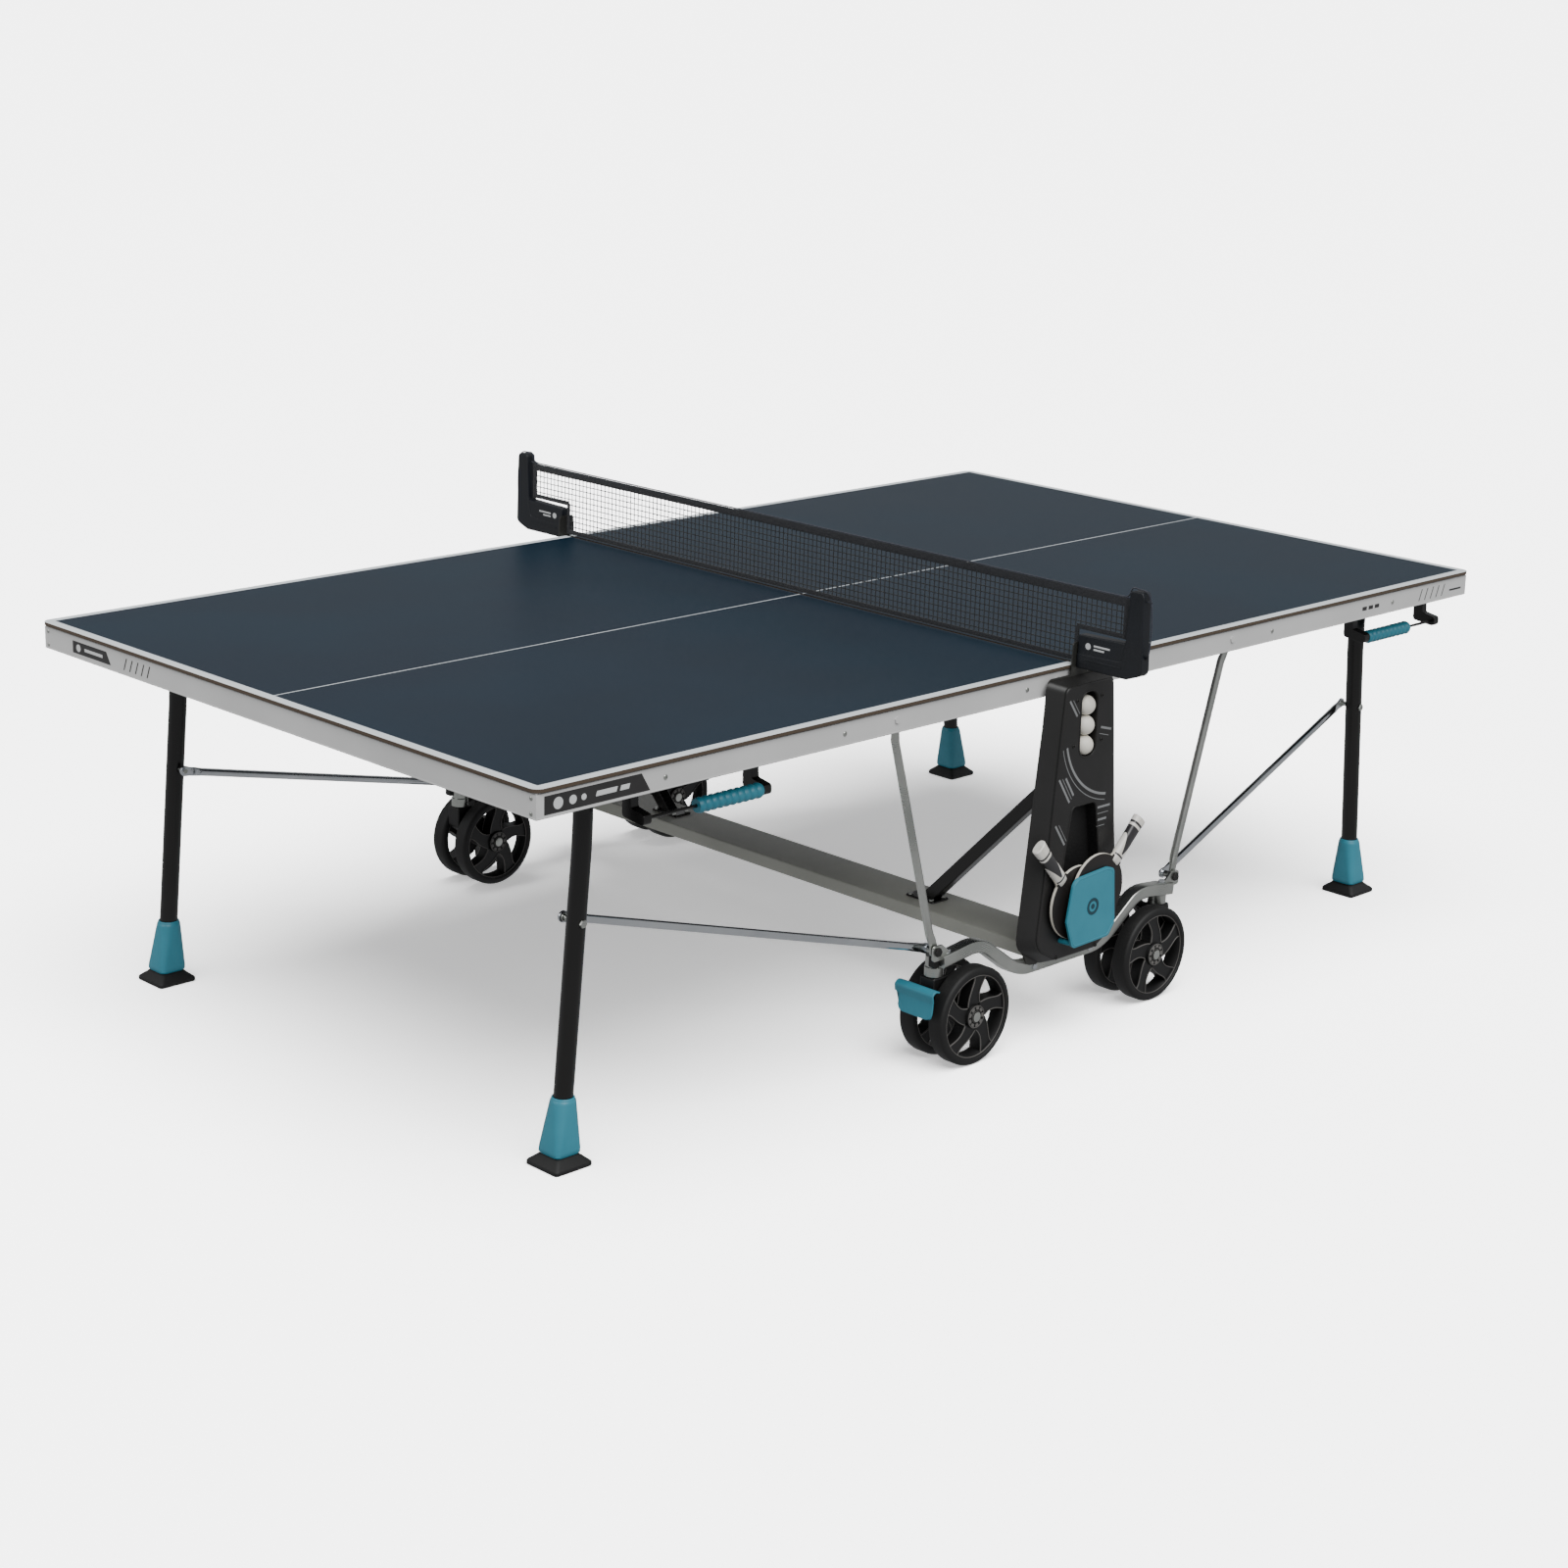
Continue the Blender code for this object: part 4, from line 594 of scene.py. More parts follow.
def makeApronDetails():
    face, z = rail["face"], rail["hemZ"]
    for half, sx in halves:
        outer = max(abs(corner[0]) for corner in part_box(f"{half}_apron"))
        heads = [domedHead((sx * outer, s * 0.7445, height), 0.0040, 0.0018, "x", sx)
                 for s in (-1, 1) for height in (0.7140, 0.7410)]
        heads += [domedHead((sx * x, sy * (face + 0.0003), rail["middle"]), 0.0046, 0.0020, "y", sy)
                  for _, sy in sides for x in (0.140, 0.640, 1.078)]
        piece(f"{half}ApronScrews", heads, f"{half}_half_top", "zinc")
        # folded hem along the apron's lower edge
        lines = [[(sx * 0.012, s * (face - 0.0016), z), (sx * (outer - 0.001), s * (face - 0.0016), z)] for s in (-1, 1)]
        lines.append([(sx * (outer - 0.0016), s * (face - 0.001), z) for s in (-1, 1)])
        piece(f"{half}ApronHem", [sweep(line, ringSection(rail["hem"], 12)) for line in lines], f"{half}_half_top", "apron")


def makeDecals():
    # Plain printed shapes: dark fields with pale discs and bars, and thin slanted strokes.
    x, y, z, p = -rail["end"], -rail["face"], rail["middle"], proud
    field = roundOutline([(-1.3480, z - 0.0165, 0), (-1.3480, z + 0.0165, 0.001), (-1.1330, z + 0.0165, 0.001),
                          (-1.1130, z - 0.0165, 0)], 2)
    piece("leftDecalField", [plate(field, y - p, y + 0.0002)], "left_half_top", "decal")
    marks = [disc((place, y, z), r, 0, -2 * p) for place, r in ((-1.318, 0.0105), (-1.286, 0.0080), (-1.262, 0.0055))]
    marks += [bar(a, a + w, z - 0.0045, z + 0.0045, y - 2 * p, y, slant=0.003) for a, w in ((-1.236, 0.046), (-1.182, 0.020))]
    piece("leftDecalMarks", marks, "left_half_top", "decalPale")
    field = [(0.520, z - 0.012), (0.535, z + 0.012), (0.655, z + 0.012), (0.655, z - 0.012)]
    shapes = [plate(field, x - p, x + 0.0002, "x")]
    shapes += [bar(a - 0.003, a, z - 0.012, z + 0.012, x - p, x + 0.0002, "x", -0.010)
               for a in (0.395, 0.415, 0.435, 0.455, 0.475)]
    piece("leftEndDecal", shapes, "left_half_top", "decal")
    marks = [bar(0.548, 0.612, z - 0.003, z + 0.003, x - 2 * p, x, "x"), disc((0, 0.634, z), 0.0075, x, x - 2 * p, "x")]
    piece("leftEndDecalMarks", marks, "left_half_top", "decalPale")
    strokes = [bar(1.180 + 0.022 * k, 1.1825 + 0.022 * k, z - 0.013, z + 0.013, y - p, y, slant=0.010) for k in range(5)]
    strokes.append(bar(1.300, 1.345, z - 0.006, z - 0.002, y - p, y))
    piece("rightDecalMarks", strokes, "right_half_top", "decal")
    piece("rightDecalBars", [bar(a, a + 0.016, z - 0.004, z + 0.004, y - p, y) for a in (0.965, 0.988, 1.011)],
          "right_half_top", "decal")


def dressNode(node, finish):
    # Gives a CAD node that stays in view its finish.
    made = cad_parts[node]
    if not made.data.materials:
        made.data.materials.append(finish)
    for place in made.material_slots:
        place.material = finish


makeSurfaces()
makeApronDetails()
makeDecals()
for half, _ in halves:
    dressNode(f"{half}_apron", finishes["apron"])
    dressNode(f"{half}_guide_shaft", finishes["zinc"])
for side, _ in sides:
    dressNode(f"{side}_guide_plate", finishes["plateSteel"])
print("tops made")

leg = {"radius": 0.018, "y": 0.623, "topX": 1.147, "footX": 1.188, "kneeZ": 0.610, "barZ": 0.715, "bend": 0.060,
       "pivot": (1.116, 0.715), "lugY": 0.523, "lugThick": 0.006, "footZ": 0.125, "socket": 0.015,
       "tieZ": 0.4495, "tieY": 0.588}
legSlope = (leg["footX"] - leg["topX"]) / (leg["kneeZ"] - leg["footZ"])
tieX = leg["topX"] + legSlope * (leg["kneeZ"] - leg["tieZ"])


def makeLegs():
    a = np.linspace(0, np.pi / 2, 14)[:, None]
    (px, pz), t = leg["pivot"], leg["lugThick"] / 2
    for half, sx in halves:
        low = np.array([[leg["footX"] + legSlope * leg["socket"], leg["y"], leg["footZ"] - leg["socket"]]])
        knee = np.array([[leg["topX"], leg["y"], leg["kneeZ"]]])
        leaning = low + (knee - low) * np.linspace(0, 0.94, 6)[:, None]
        bend = np.hstack([np.full_like(a, leg["topX"]), leg["y"] - leg["bend"] * (1 - np.cos(a)),
                          leg["barZ"] - leg["bend"] * (1 - np.sin(a))])
        side = np.concatenate([leaning, knee + [0, 0, 0.028], bend])
        path = np.concatenate([side, side[::-1] * [1, -1, 1]]) * [sx, 1, 1]
        parts = [sweep(path, ringSection(leg["radius"], 32), (1, 0, 0))]
        lug = roundOutline(flipped([(leg["topX"], leg["barZ"] + 0.010, 0), (px - 0.010, pz + 0.010, 0.009),
                                    (px - 0.010, pz - 0.010, 0.009), (leg["topX"], leg["barZ"] - 0.010, 0)], sx))
        bolts = []
        for _, sy in sides:
            parts.append(plate(lug, sy * (leg["lugY"] - t), sy * (leg["lugY"] + t)))
            parts.append(pinAt(sx * px, pz, sy * leg["lugY"], sy * (leg["lugY"] + 4 * t), 0.005))
            outside = sy * (leg["y"] + leg["radius"])
            bolts.append(pinAt(sx * tieX, leg["tieZ"], sy * (leg["tieY"] - 0.003), outside, 0.005))
            bolts.append(hexHead((sx * tieX, outside - sy * 0.0005, leg["tieZ"]), 0.0080, 0.0042, "y", sy))
            bolts.append(turned([(0, 0.0004), (0, 0.0078), (sy * 0.003, 0.0072), (sy * 0.0035, 0.0004)],
                                (sx * tieX, sy * (leg["tieY"] + 0.0028), leg["tieZ"]), "y", 24, False))
        piece(f"{half}LegTube", parts, f"{half}_leg", "black", (f"{half}_leg_frame",))
        piece(f"{half}LegBolts", bolts, f"{half}_leg", "zinc")


# boot: (share of its height, width, corner), square with rounded corners at the foot and nearly round at the top
bootLevels = [(0.0, 0.0550, 0.0110), (0.03, 0.0592, 0.0110), (0.10, 0.0592, 0.0110), (0.25, 0.0568, 0.0125),
              (0.5, 0.0530, 0.0155), (0.8, 0.0485, 0.0190), (0.94, 0.0462, 0.0205),
              (0.98, 0.0452, 0.0205), (1.0, 0.0425, 0.0195)]
# foot: (height, width, corner), a thin base and then a slope up to the boot
footLevels = [(0.0, 0.0820, 0.006), (0.0010, 0.0850, 0.007), (0.0025, 0.0870, 0.008), (0.0075, 0.0870, 0.008),
              (0.0095, 0.0845, 0.008), (0.0200, 0.0600, 0.008), (0.0230, 0.0540, 0.008), (0.0240, 0.0500, 0.008)]
bootCollar = [(-0.006, 0.0190), (-0.006, 0.0222), (0.0025, 0.0216), (0.0040, 0.0205), (0.0042, 0.0190)]
bootFloor = 0.0243


def makeBootsAndFeet():
    for half, sx in halves:
        def squareAt(z, sy, size, radius):
            x = sx * (leg["footX"] + legSlope * (leg["footZ"] - z))
            return boxSection(size, size, radius, 6) + np.array([x, sy * leg["y"]])

        boots, feet = [], []
        for _, sy in sides:
            z = [bootFloor + (leg["footZ"] - bootFloor) * t for t, _, _ in bootLevels]
            boots.append(lofted([squareAt(h, sy, size, r) for h, (_, size, r) in zip(z, bootLevels)], z))
            boots.append(turned(bootCollar, (sx * leg["footX"], sy * leg["y"], leg["footZ"]), "z", 36))
            feet.append(lofted([squareAt(0.024, sy, size, r) for _, size, r in footLevels], [h for h, _, _ in footLevels]))
        piece(f"{half}Boots", boots, f"{half}_leg", "teal", (f"{half}_near_boot", f"{half}_far_boot"))
        piece(f"{half}Feet", feet, f"{half}_leg", "tread", (f"{half}_near_foot", f"{half}_far_foot"))


makeLegs()
makeBootsAndFeet()
print("legs made")

armPivot = np.array([0.363, 0.2445])
strut = {"top": (0.503, 0.730), "radius": 0.008, "y": 0.742, "eyeY": 0.747, "eye": 0.012, "thick": 0.005,
         "flat": (0.022, 0.012)}
tieRod = {"radius": 0.008, "lowY": 0.7255, "eye": 0.011, "thick": 0.005, "flat": (0.016, 0.016)}


def flatEnded(top, low, y, eyeY, rod):
    # Round rod pressed flat at both ends: each section is a superellipse whose width, thickness and power
    # pass from the rod's circle to the flat eye, and whose width closes as a half circle past the pivot.
    top, low = np.asarray(top, float), np.asarray(low, float)
    radius, eye, flat, change = rod["radius"], rod["eye"], rod["flat"], 0.030
    length = np.linalg.norm(low - top)
    arc = eye * np.cos(np.linspace(np.pi, np.pi / 2, 7))
    start, end = (np.concatenate([arc, np.linspace(0.004, f, 4), np.linspace(f + 0.008, f + change, 5)]) for f in flat)
    places = np.concatenate([start, length - end[::-1]])
    toEnd = np.minimum(places, length - places)
    press = ease(1 - np.clip((toEnd - np.where(places < length / 2, *flat)) / change, 0, 1))
    wide = np.where(toEnd < 0, np.sqrt(np.maximum(eye ** 2 - toEnd ** 2, 1e-8)),
                    eye + (radius + 0.001 - eye) * np.clip(toEnd / 0.012, 0, 1))
    wide = radius + (wide - radius) * press
    path = top + (low - top) * (places / length)[:, None]
    line = np.stack([path[:, 0], y + (eyeY - y) * press, path[:, 1]], 1)
    sections = np.array([squared(w, radius + (rod["thick"] / 2 - radius) * p, 2 + 5 * p) for w, p in zip(wide, press)])
    over = np.array([0, 1.0, 0])
    side = np.cross(np.array([(low - top)[0], 0, (low - top)[1]]) / length, over)
    return skin(line[:, None] + side * sections[:, :, :1] + over * sections[:, :, 1:])


def makeLinkage():
    for tag, node, sx, sy in quarters:
        x, z = armPivot * [sx, 1]
        strutRod = flatEnded(np.array(strut["top"]) * [sx, 1], (x, z), sy * strut["y"], sy * strut["eyeY"], strut)
        piece(f"{tag}Strut", [strutRod, pinAt(x, z, sy * 0.7335, sy * 0.7527, 0.007)], f"{node}_strut", "zinc",
              (f"{node}_strut",))
        # the tie rod's line also crosses the table
        tie, _ = tieParts = flatEnded((sx * tieX, leg["tieZ"]), (x, z), 0.0, 0.0, tieRod)
        share = np.clip((tie[:, 0] - sx * tieX) / (x - sx * tieX), 0, 1)
        tie[:, 1] += sy * (leg["tieY"] + (tieRod["lowY"] - leg["tieY"]) * share)
        boss = pinAt(x, z, sy * (tieRod["lowY"] - 0.006), sy * (tieRod["lowY"] + 0.0075), 0.007)
        piece(f"{tag}TieRod", [tieParts, boss], f"{node}_tie_rod", "chrome", (f"{node}_tie_rod",))


makeLinkage()
print("linkage made")

arm = {"outY": 0.765, "width": 0.030, "depth": 0.025, "casterX": 0.342, "casterY": 0.730,
       "line": [(0.110, 0.165), (0.146, 0.178), (0.232, 0.2405), (0.262, 0.2455), (0.351, 0.2345)],
       "lug": [(0.330, 0.226, 0), (0.330, 0.240, 0.003), (0.350, 0.257, 0.004), (0.376, 0.257, 0.008), (0.376, 0.226, 0.006)],
       "cap": [(0.3512, 0.2095, 0.002), (0.3512, 0.2335, 0.002), (0.3660, 0.2310, 0.004), (0.3660, 0.2095, 0.004)],
       "socket": [(0.1860, 0.0090), (0.1860, 0.0180), (0.1870, 0.0190), (0.2050, 0.0190), (0.2065, 0.0175), (0.2270, 0.0175),
                  (0.2270, 0.0090)]}
beam = {"half": 0.060, "top": 0.183, "low": 0.155, "sheet": 0.0025, "corner": 0.004, "reach": 0.7347, "bolts": (0.035, 0.705)}
brace = {"size": 0.027, "footY": 0.400, "topY": 0.7652, "topZ": 0.555, "footZ": 0.1833, "plate": 0.004}


def makeBeam():
    w, top, low, sheet, r = (beam[key] for key in ("half", "top", "low", "sheet", "corner"))
    lip = [(-w, low, 0), (-w + sheet, low, 0), (-w + sheet, top - sheet, r - sheet)]
    outline = bothSides(lip) + [(w, top, r), (-w, top, r)]
    piece("chassisBeam", [plate(roundOutline(outline, 4), -beam["reach"], beam["reach"])], "root", "chassis", ("chassis_beam",))
    bolts, (x, y) = [], beam["bolts"]
    for sx, sy in ((-1, -1), (1, -1), (-1, 1), (1, 1)):
        bolts.append(hexHead((sx * x, sy * y, top), 0.0075, 0.0048, "z"))
        bolts.append(spun([(0, 0.0098), (0.0014, 0.0095)], (sx * x, sy * y, top - 0.0002), "z"))
    piece("beamBolts", bolts, "root", "zinc")


def makeWheelArms():
    for side, sy in sides:
        y = sy * (arm["outY"] - arm["width"] / 2)
        right = [(x, y, z - arm["depth"] / 2) for x, z in arm["line"]]
        path = roundLine([(-x, y, z) for x, y, z in reversed(right)] + right, 0.024, 7)
        parts = [sweep(path, boxSection(arm["width"], arm["depth"], 0.0035))]
        bolts, dark, caps = [], [], []
        for _, sx in halves:
            px, pz = sx * armPivot[0], armPivot[1]
            parts.append(plate(roundOutline(flipped(arm["lug"], sx)), sy * 0.7531, sy * 0.7571))
            parts.append(turned(arm["socket"], (sx * arm["casterX"], sy * arm["casterY"], 0), "z", 36))
            bolts.append(hexHead((sx * 0.330, sy * 0.750, 0.2372), 0.0075, 0.0048, "z"))
            bolts.append(spun([(0, 0.0100), (0.0012, 0.0096)], (sx * 0.330, sy * 0.750, 0.2362), "z", 28))
            bolts.append(domedHead((sx * 0.3505, sy * 0.7430, 0.2220), 0.0052, 0.0020, "x", sx))
            bolts.append(hexHead((sx * 0.085, sy * arm["outY"], 0.1535), 0.0070, 0.0040, "y", sy))
            dark += [pinAt(px, pz, sy * 0.7532, sy * 0.7590, 0.0060), hexHead((px, sy * 0.7571, pz), 0.0092, 0.0050, "y", sy)]
            caps.append(plate(roundOutline(flipped(arm["cap"], sx)), sy * 0.7365, sy * 0.7525))
        piece(f"{side}WheelArm", parts, "root", "zinc", (f"{side}_wheel_arm",))
        piece(f"{side}ArmCaps", caps, "root", "wheel", bevel=0.0010)
        piece(f"{side}ArmBolts", bolts, "root", "chrome")
        piece(f"{side}PivotBolts", dark, "root", "black")


def makeBraces():
    size, footY, topY, topZ, footZ, pad = brace.values()
    run, rise = topY - footY, topZ - beam["top"]
    slope = math.hypot(run, rise)
    thick, lift = size * slope / rise / 2, size * slope / run / 2
    for side, sy in sides:
        line = [(sy * (footY - thick), footZ), (sy * (footY + thick), footZ), (sy * topY, topZ - lift),
                (sy * topY, topZ + lift)]
        base = boxSection(size + 0.024, 0.080, 0.006) + np.array([0, sy * (footY - 0.005)])
        parts = [plate(line, -size / 2, size / 2, "x"), plate(base, footZ, footZ + pad, "z")]
        piece(f"{side}Brace", parts, "root", "black", (f"{side}_brace",), bevel=0.0022, segments=3)
        bolts = [hexHead((x, sy * y, footZ + pad), 0.0055, 0.0035, "z") for x in (-0.019, 0.019) for y in (0.366, 0.424)]
        piece(f"{side}BraceBolts", bolts, "root", "zinc")


makeBeam()
makeWheelArms()
makeBraces()
print("chassis made")

shroud = {"back": 0.770, "front": 0.800, "wall": 0.003,
          "backEdge": [(0.098, 0.737, 0.018), (0.104, 0.650, 0), (0.121, 0.500, 0), (0.153, 0.205, 0.045),
                       (0.075, 0.1585, 0.035)],
          "frontEdge": [(0.070, 0.727, 0.014), (0.080, 0.630, 0), (0.098, 0.420, 0), (0.124, 0.205, 0.040),
                        (0.060, 0.1705, 0.030)],
          "slot": [(0.0235, 0.710, 0.020), (0.0235, 0.580, 0.020)],
          "pocket": [(0.034, 0.480, 0.012), (0.050, 0.385, 0.02), (0.062, 0.265, 0.010)],
          "screws": [(0.037, 0.697), (0.042, 0.6065), (0.060, 0.175)]}
printed = {"arcs": [(0.150, 0.0050), (0.162, 0.0016)], "arcCentre": (0.085, 0.640), "arcSpan": (193, 262),
           "bars": [((-0.060, 0.700), (0.024, -0.034), 2), ((-0.080, 0.545), (0.034, -0.052), 3),
                    ((-0.084, 0.452), (0.030, -0.044), 2), ((0.038, 0.632), (0.032, -0.009), 2),
                    ((0.042, 0.466), (0.038, 0.000), 4)],
           "gap": 0.0130, "width": 0.0046, "thin": 0.0014}
ball = {"radius": 0.0200, "y": 0.789, "places": (0.6005, 0.6408, 0.6811)}


def drawnIn(corners, inset):
    # The outline moved inwards by inset: its top corners down, its bottom corners up.
    return [(u - inset, v - inset * ((v > 0.648) - (v < 0.248)), max(r - inset * 0.5, 0.001) if r else 0)
            for u, v, r in corners]


def shroudBody(sy, inset, backY, frontY, roundOff):
    # Rings from the wide back edge to the front: straight sides, then a quarter round onto the front face.
    back, front = drawnIn(shroud["backEdge"], inset), drawnIn(shroud["frontEdge"], inset)
    a = np.linspace(0, np.pi / 2, 5)
    straight = np.linspace(0, 1 - roundOff / (shroud["front"] - shroud["back"]), 3)
    shares = [*straight, 1, 1, 1, 1, 1]
    insets = [0, 0, 0, *(roundOff * (1 - np.cos(a)) * 0.8)]
    depths = [*(backY + (frontY - backY) * straight), *(frontY - roundOff + roundOff * np.sin(a))]
    outlines = []
    for share, extra in zip(shares, insets):
        mixed = [(b[0] + (f[0] - b[0]) * share - extra,
                  b[1] + (f[1] - b[1]) * share - extra * ((b[1] > 0.6) * 1 - (b[1] < 0.3)), f[2]) for b, f in zip(back, front)]
        outlines.append(roundOutline(bothSides(mixed), 6))
    return lofted(outlines, [sy * depth for depth in depths], "y")


def printLines():
    # Two arcs from the slot's side down to the right, and groups of even bars: every other one is thin.
    (cx, cz), (first, last) = printed["arcCentre"], np.radians(printed["arcSpan"])
    a, gap = np.linspace(first, last, 20), printed["gap"]
    lines = [(np.stack([cx + r * np.cos(a), cz + r * np.sin(a)], 1), width) for r, width in printed["arcs"]]
    for start, run, count in printed["bars"]:
        level = abs(run[1]) < abs(run[0])
        drop = np.array([run[1], -run[0]]) / math.hypot(*run) * gap if level else np.array([gap * 0.75, 0])
        for k in range(count):
            ends = np.array(start) + drop * k + np.array([(0.0, 0.0), run]) * (1 - 0.12 * k)
            lines.append((ends, printed["thin" if k % 2 else "width"]))
    return lines


def stroke(line, width, flip):
    # Printed line of even width through (x, z) points.
    along = unit(np.gradient(line, axis=0))
    across = np.stack([-along[:, 1], along[:, 0]], 1) * width / 2
    return np.concatenate([line + across, (line - across)[::-1]]) * [flip, 1]


def grownBy(corners, grow, corner=0.0):
    # Half an opening's outline, moved outwards by grow.
    middle = sum(v for _, v, _ in corners) / len(corners)
    return [(u + grow, v + (grow if v > middle else -grow), r + corner) for u, v, r in corners]


def makeLip(corners, y):
    # Raised round lip along an opening's edge.
    line = roundOutline(bothSides(grownBy(corners, 0.0022, 0.0022)), 8)
    path = np.column_stack([line[:, 0], np.full(len(line), y), line[:, 1]])
    over = np.array([0, 1.0, 0])
    outward = np.cross(unit(np.roll(path, -1, 0) - np.roll(path, 1, 0)), over)
    section = ringSection(0.0013, 10)
    return skin(path[:, None] + outward[:, None] * section[:, :1] + over * section[:, 1:], closeRings=True)


def makeShrouds():
    a = np.linspace(0.02, np.pi - 0.02, 22)
    ballProfile = np.stack([-np.cos(a), np.sin(a)], 1) * ball["radius"]
    back, front, wall = shroud["back"], shroud["front"], shroud["wall"]
    for side, sy in sides:
        def opening(corners, low, high, steps):
            return plate(roundOutline(bothSides(corners), steps), sy * low, sy * high)

        slot, pocket = shroud["slot"], shroud["pocket"]
        hollow = shroudBody(sy, wall, back - 0.001, front - wall, 0.0030)
        piece(f"{side}Shroud", [shroudBody(sy, 0, back, front, 0.0035)], "root", "shroud", (f"{side}_shroud",), bevel=0.0008,
              cutters=[hollow, opening(slot, 0.790, 0.812, 8), opening(pocket, 0.790, 0.812, 6)])
        # liner of the pocket: a tray with a pebbled floor, and of the ball slot: a plain sleeve
        piece(f"{side}PocketTray", [opening(grownBy(pocket, 0.0022), 0.7715, 0.7968, 6)], "root", "pocket",
              cutters=[opening(pocket, 0.7745, 0.812, 6)])
        piece(f"{side}BallSleeve", [opening(grownBy(slot, 0.0020), 0.7705, 0.7968, 8)], "root", "pocket",
              cutters=[opening(slot, 0.760, 0.812, 8)])
        heads = [domedHead((u * s, sy * front, v), 0.0045, 0.0018, "y", sy) for u, v in shroud["screws"] for s in (-1, 1)]
        piece(f"{side}ShroudScrews", heads, "root", "black")
        lines = [plate(stroke(points, width, -sy), sy * (front - 0.0003), sy * (front + 0.0002))
                 for points, width in printLines()]
        piece(f"{side}ShroudPrint", lines, "root", "print")
        piece(f"{side}ShroudLips", [makeLip(corners, sy * (front - 0.0002)) for corners in (slot, pocket)], "root", "shroud")
        balls = [turned(ballProfile, (0, sy * ball["y"], z), "x", 40, False) for z in ball["places"]]
        piece(f"{side}Balls", balls, "root", "ball")


makeShrouds()
print("shrouds made")

holder = {"y": 0.830, "thick": 0.006,
          "corners": [(-0.060, 0.3455, 0.022), (0.042, 0.352, 0.020), (0.0634, 0.345, 0.012), (0.0737, 0.230, 0.012),
                      (0.0555, 0.2046, 0.012), (-0.0545, 0.2015, 0.012), (-0.0758, 0.2595, 0.010)],
          "ridge": [(0.965, 0.0012), (0.953, 0.0001), (0.937, 0.0001), (0.925, 0.0012)],      # (share of the outline, depth)
          "reach": (0.8003, 0.831), "pegX": 0.052, "pegZ": 0.2100, "shelfZ": 0.2060, "mark": (0.002, 0.278)}
bats = {"left_bat": {"centre": (-0.025, 0.2875), "heading": (-0.66, 0.75), "length": 0.185, "y": -0.8125},
        "right_bat": {"centre": (0.025, 0.3050), "heading": (0.70, 0.71), "length": 0.175, "y": -0.8235}}
# bat handle: (share of its length, half width, half depth), swelling at the grip and flaring at the butt
handleLevels = [(0.0, 0.0120, 0.0056), (0.02, 0.0128, 0.0078), (0.10, 0.0134, 0.0096), (0.30, 0.0142, 0.0103),
                (0.55, 0.0140, 0.0100), (0.80, 0.0150, 0.0102), (0.95, 0.0164, 0.0105), (0.985, 0.0166, 0.0103),
                (1.0, 0.0148, 0.0085)]


def makeHolders():
    for side, sy in sides:
        outline = roundOutline(flipped(holder["corners"], -sy), 8)
        front, (low, high) = sy * (holder["y"] + holder["thick"]), [sy * y for y in holder["reach"]]
        shelf = boxSection(0.100, 0.0050, 0.002) + np.array([0, holder["shelfZ"]])
        middle = outline.mean(0)
        parts = [plate(outline, sy * holder["y"], front - sy * 0.0008), plate(shelf, low, high)]
        # raised rim: a low ridge between copies of the outline
        parts.append(lofted([(outline - middle) * share + middle for share, _ in holder["ridge"]],
                            [front - sy * depth for _, depth in holder["ridge"]], "y", True))
        # pegs to the shroud, standing on the shelf and clear of the blades above them
        parts += [spun([(low, 0.0060), (high, 0.0048)], (s * holder["pegX"], 0, holder["pegZ"])) for s in (-1, 1)]
        piece(f"{side}Holder", parts, "root", "teal", (f"{side}_bat_holder",), bevel=0.0010)
        # plain mark: a dark ring round a dot
        at = (-sy * holder["mark"][0], front - sy * 0.0008, holder["mark"][1])
        mark = [turned([(0, 0.0110), (0, 0.0175), (sy * 0.0004, 0.0175), (sy * 0.0004, 0.0110)], at),
                disc(at, 0.0055, 0, sy * 0.0004)]
        piece(f"{side}HolderMark", mark, "root", "tealDark")


def makeBats():
    start = math.radians(13)
    a = np.linspace(start, 2 * np.pi - start, 72)[:, None]
    for name, b in bats.items():
        along = unit(np.array(b["heading"]))
        across = np.array([-along[1], along[0]])
        centre, y, tag = np.array(b["centre"]), b["y"], name.split("_")[0]

        def blade(radius, reach, neck):
            # circle, then a straight neck out to reach with a small concave shoulder
            arc = (along * np.cos(a) + across * np.sin(a)) * radius
            near, far = ([along * x + across * s * w for s in (-1, 1)]
                         for x, w in ((radius + 0.003, neck + 0.0015), (reach, neck)))
            return centre + np.concatenate([arc, [near[0], *far, near[1]]])

        core = plate(blade(0.0748, 0.098, 0.0135), y - 0.0028, y + 0.0028)
        piece(f"{tag}BatCore", [core], name, "edge", (name,), bevel=0.0006)
        sheets = [plate(blade(0.0742, 0.078, 0.0150), y + s * 0.0030, y + s * 0.0049) for s in (-1, 1)]
        piece(f"{tag}BatRubber", sheets, name, "rubber", bevel=0.0004)
        rings = []
        for share, wide, deep in handleLevels:
            section = squared(wide, deep, 2.5, 32)
            flat = centre + along * (0.066 + (b["length"] - 0.066) * share) + across * section[:, :1]
            rings.append(np.column_stack([flat[:, 0], y + section[:, 1], flat[:, 1]]))
        finish = makeHandleFinish(f"{tag}HandleFinish", (centre[0], y, centre[1]), -math.atan2(along[1], along[0]))
        piece(f"{tag}BatHandle", [skin(rings)], name, "handle", finish=finish)


makeHolders()
makeBats()
print("bats made")

handle = {"span": {"left": (0.785, 1.075), "right": (1.062, 1.332)}, "pivot": (-0.664, 0.700), "rod": (-0.700, 0.638),
          "arm": 0.018, "grip": 0.0148, "length": 0.156, "ribs": 10}


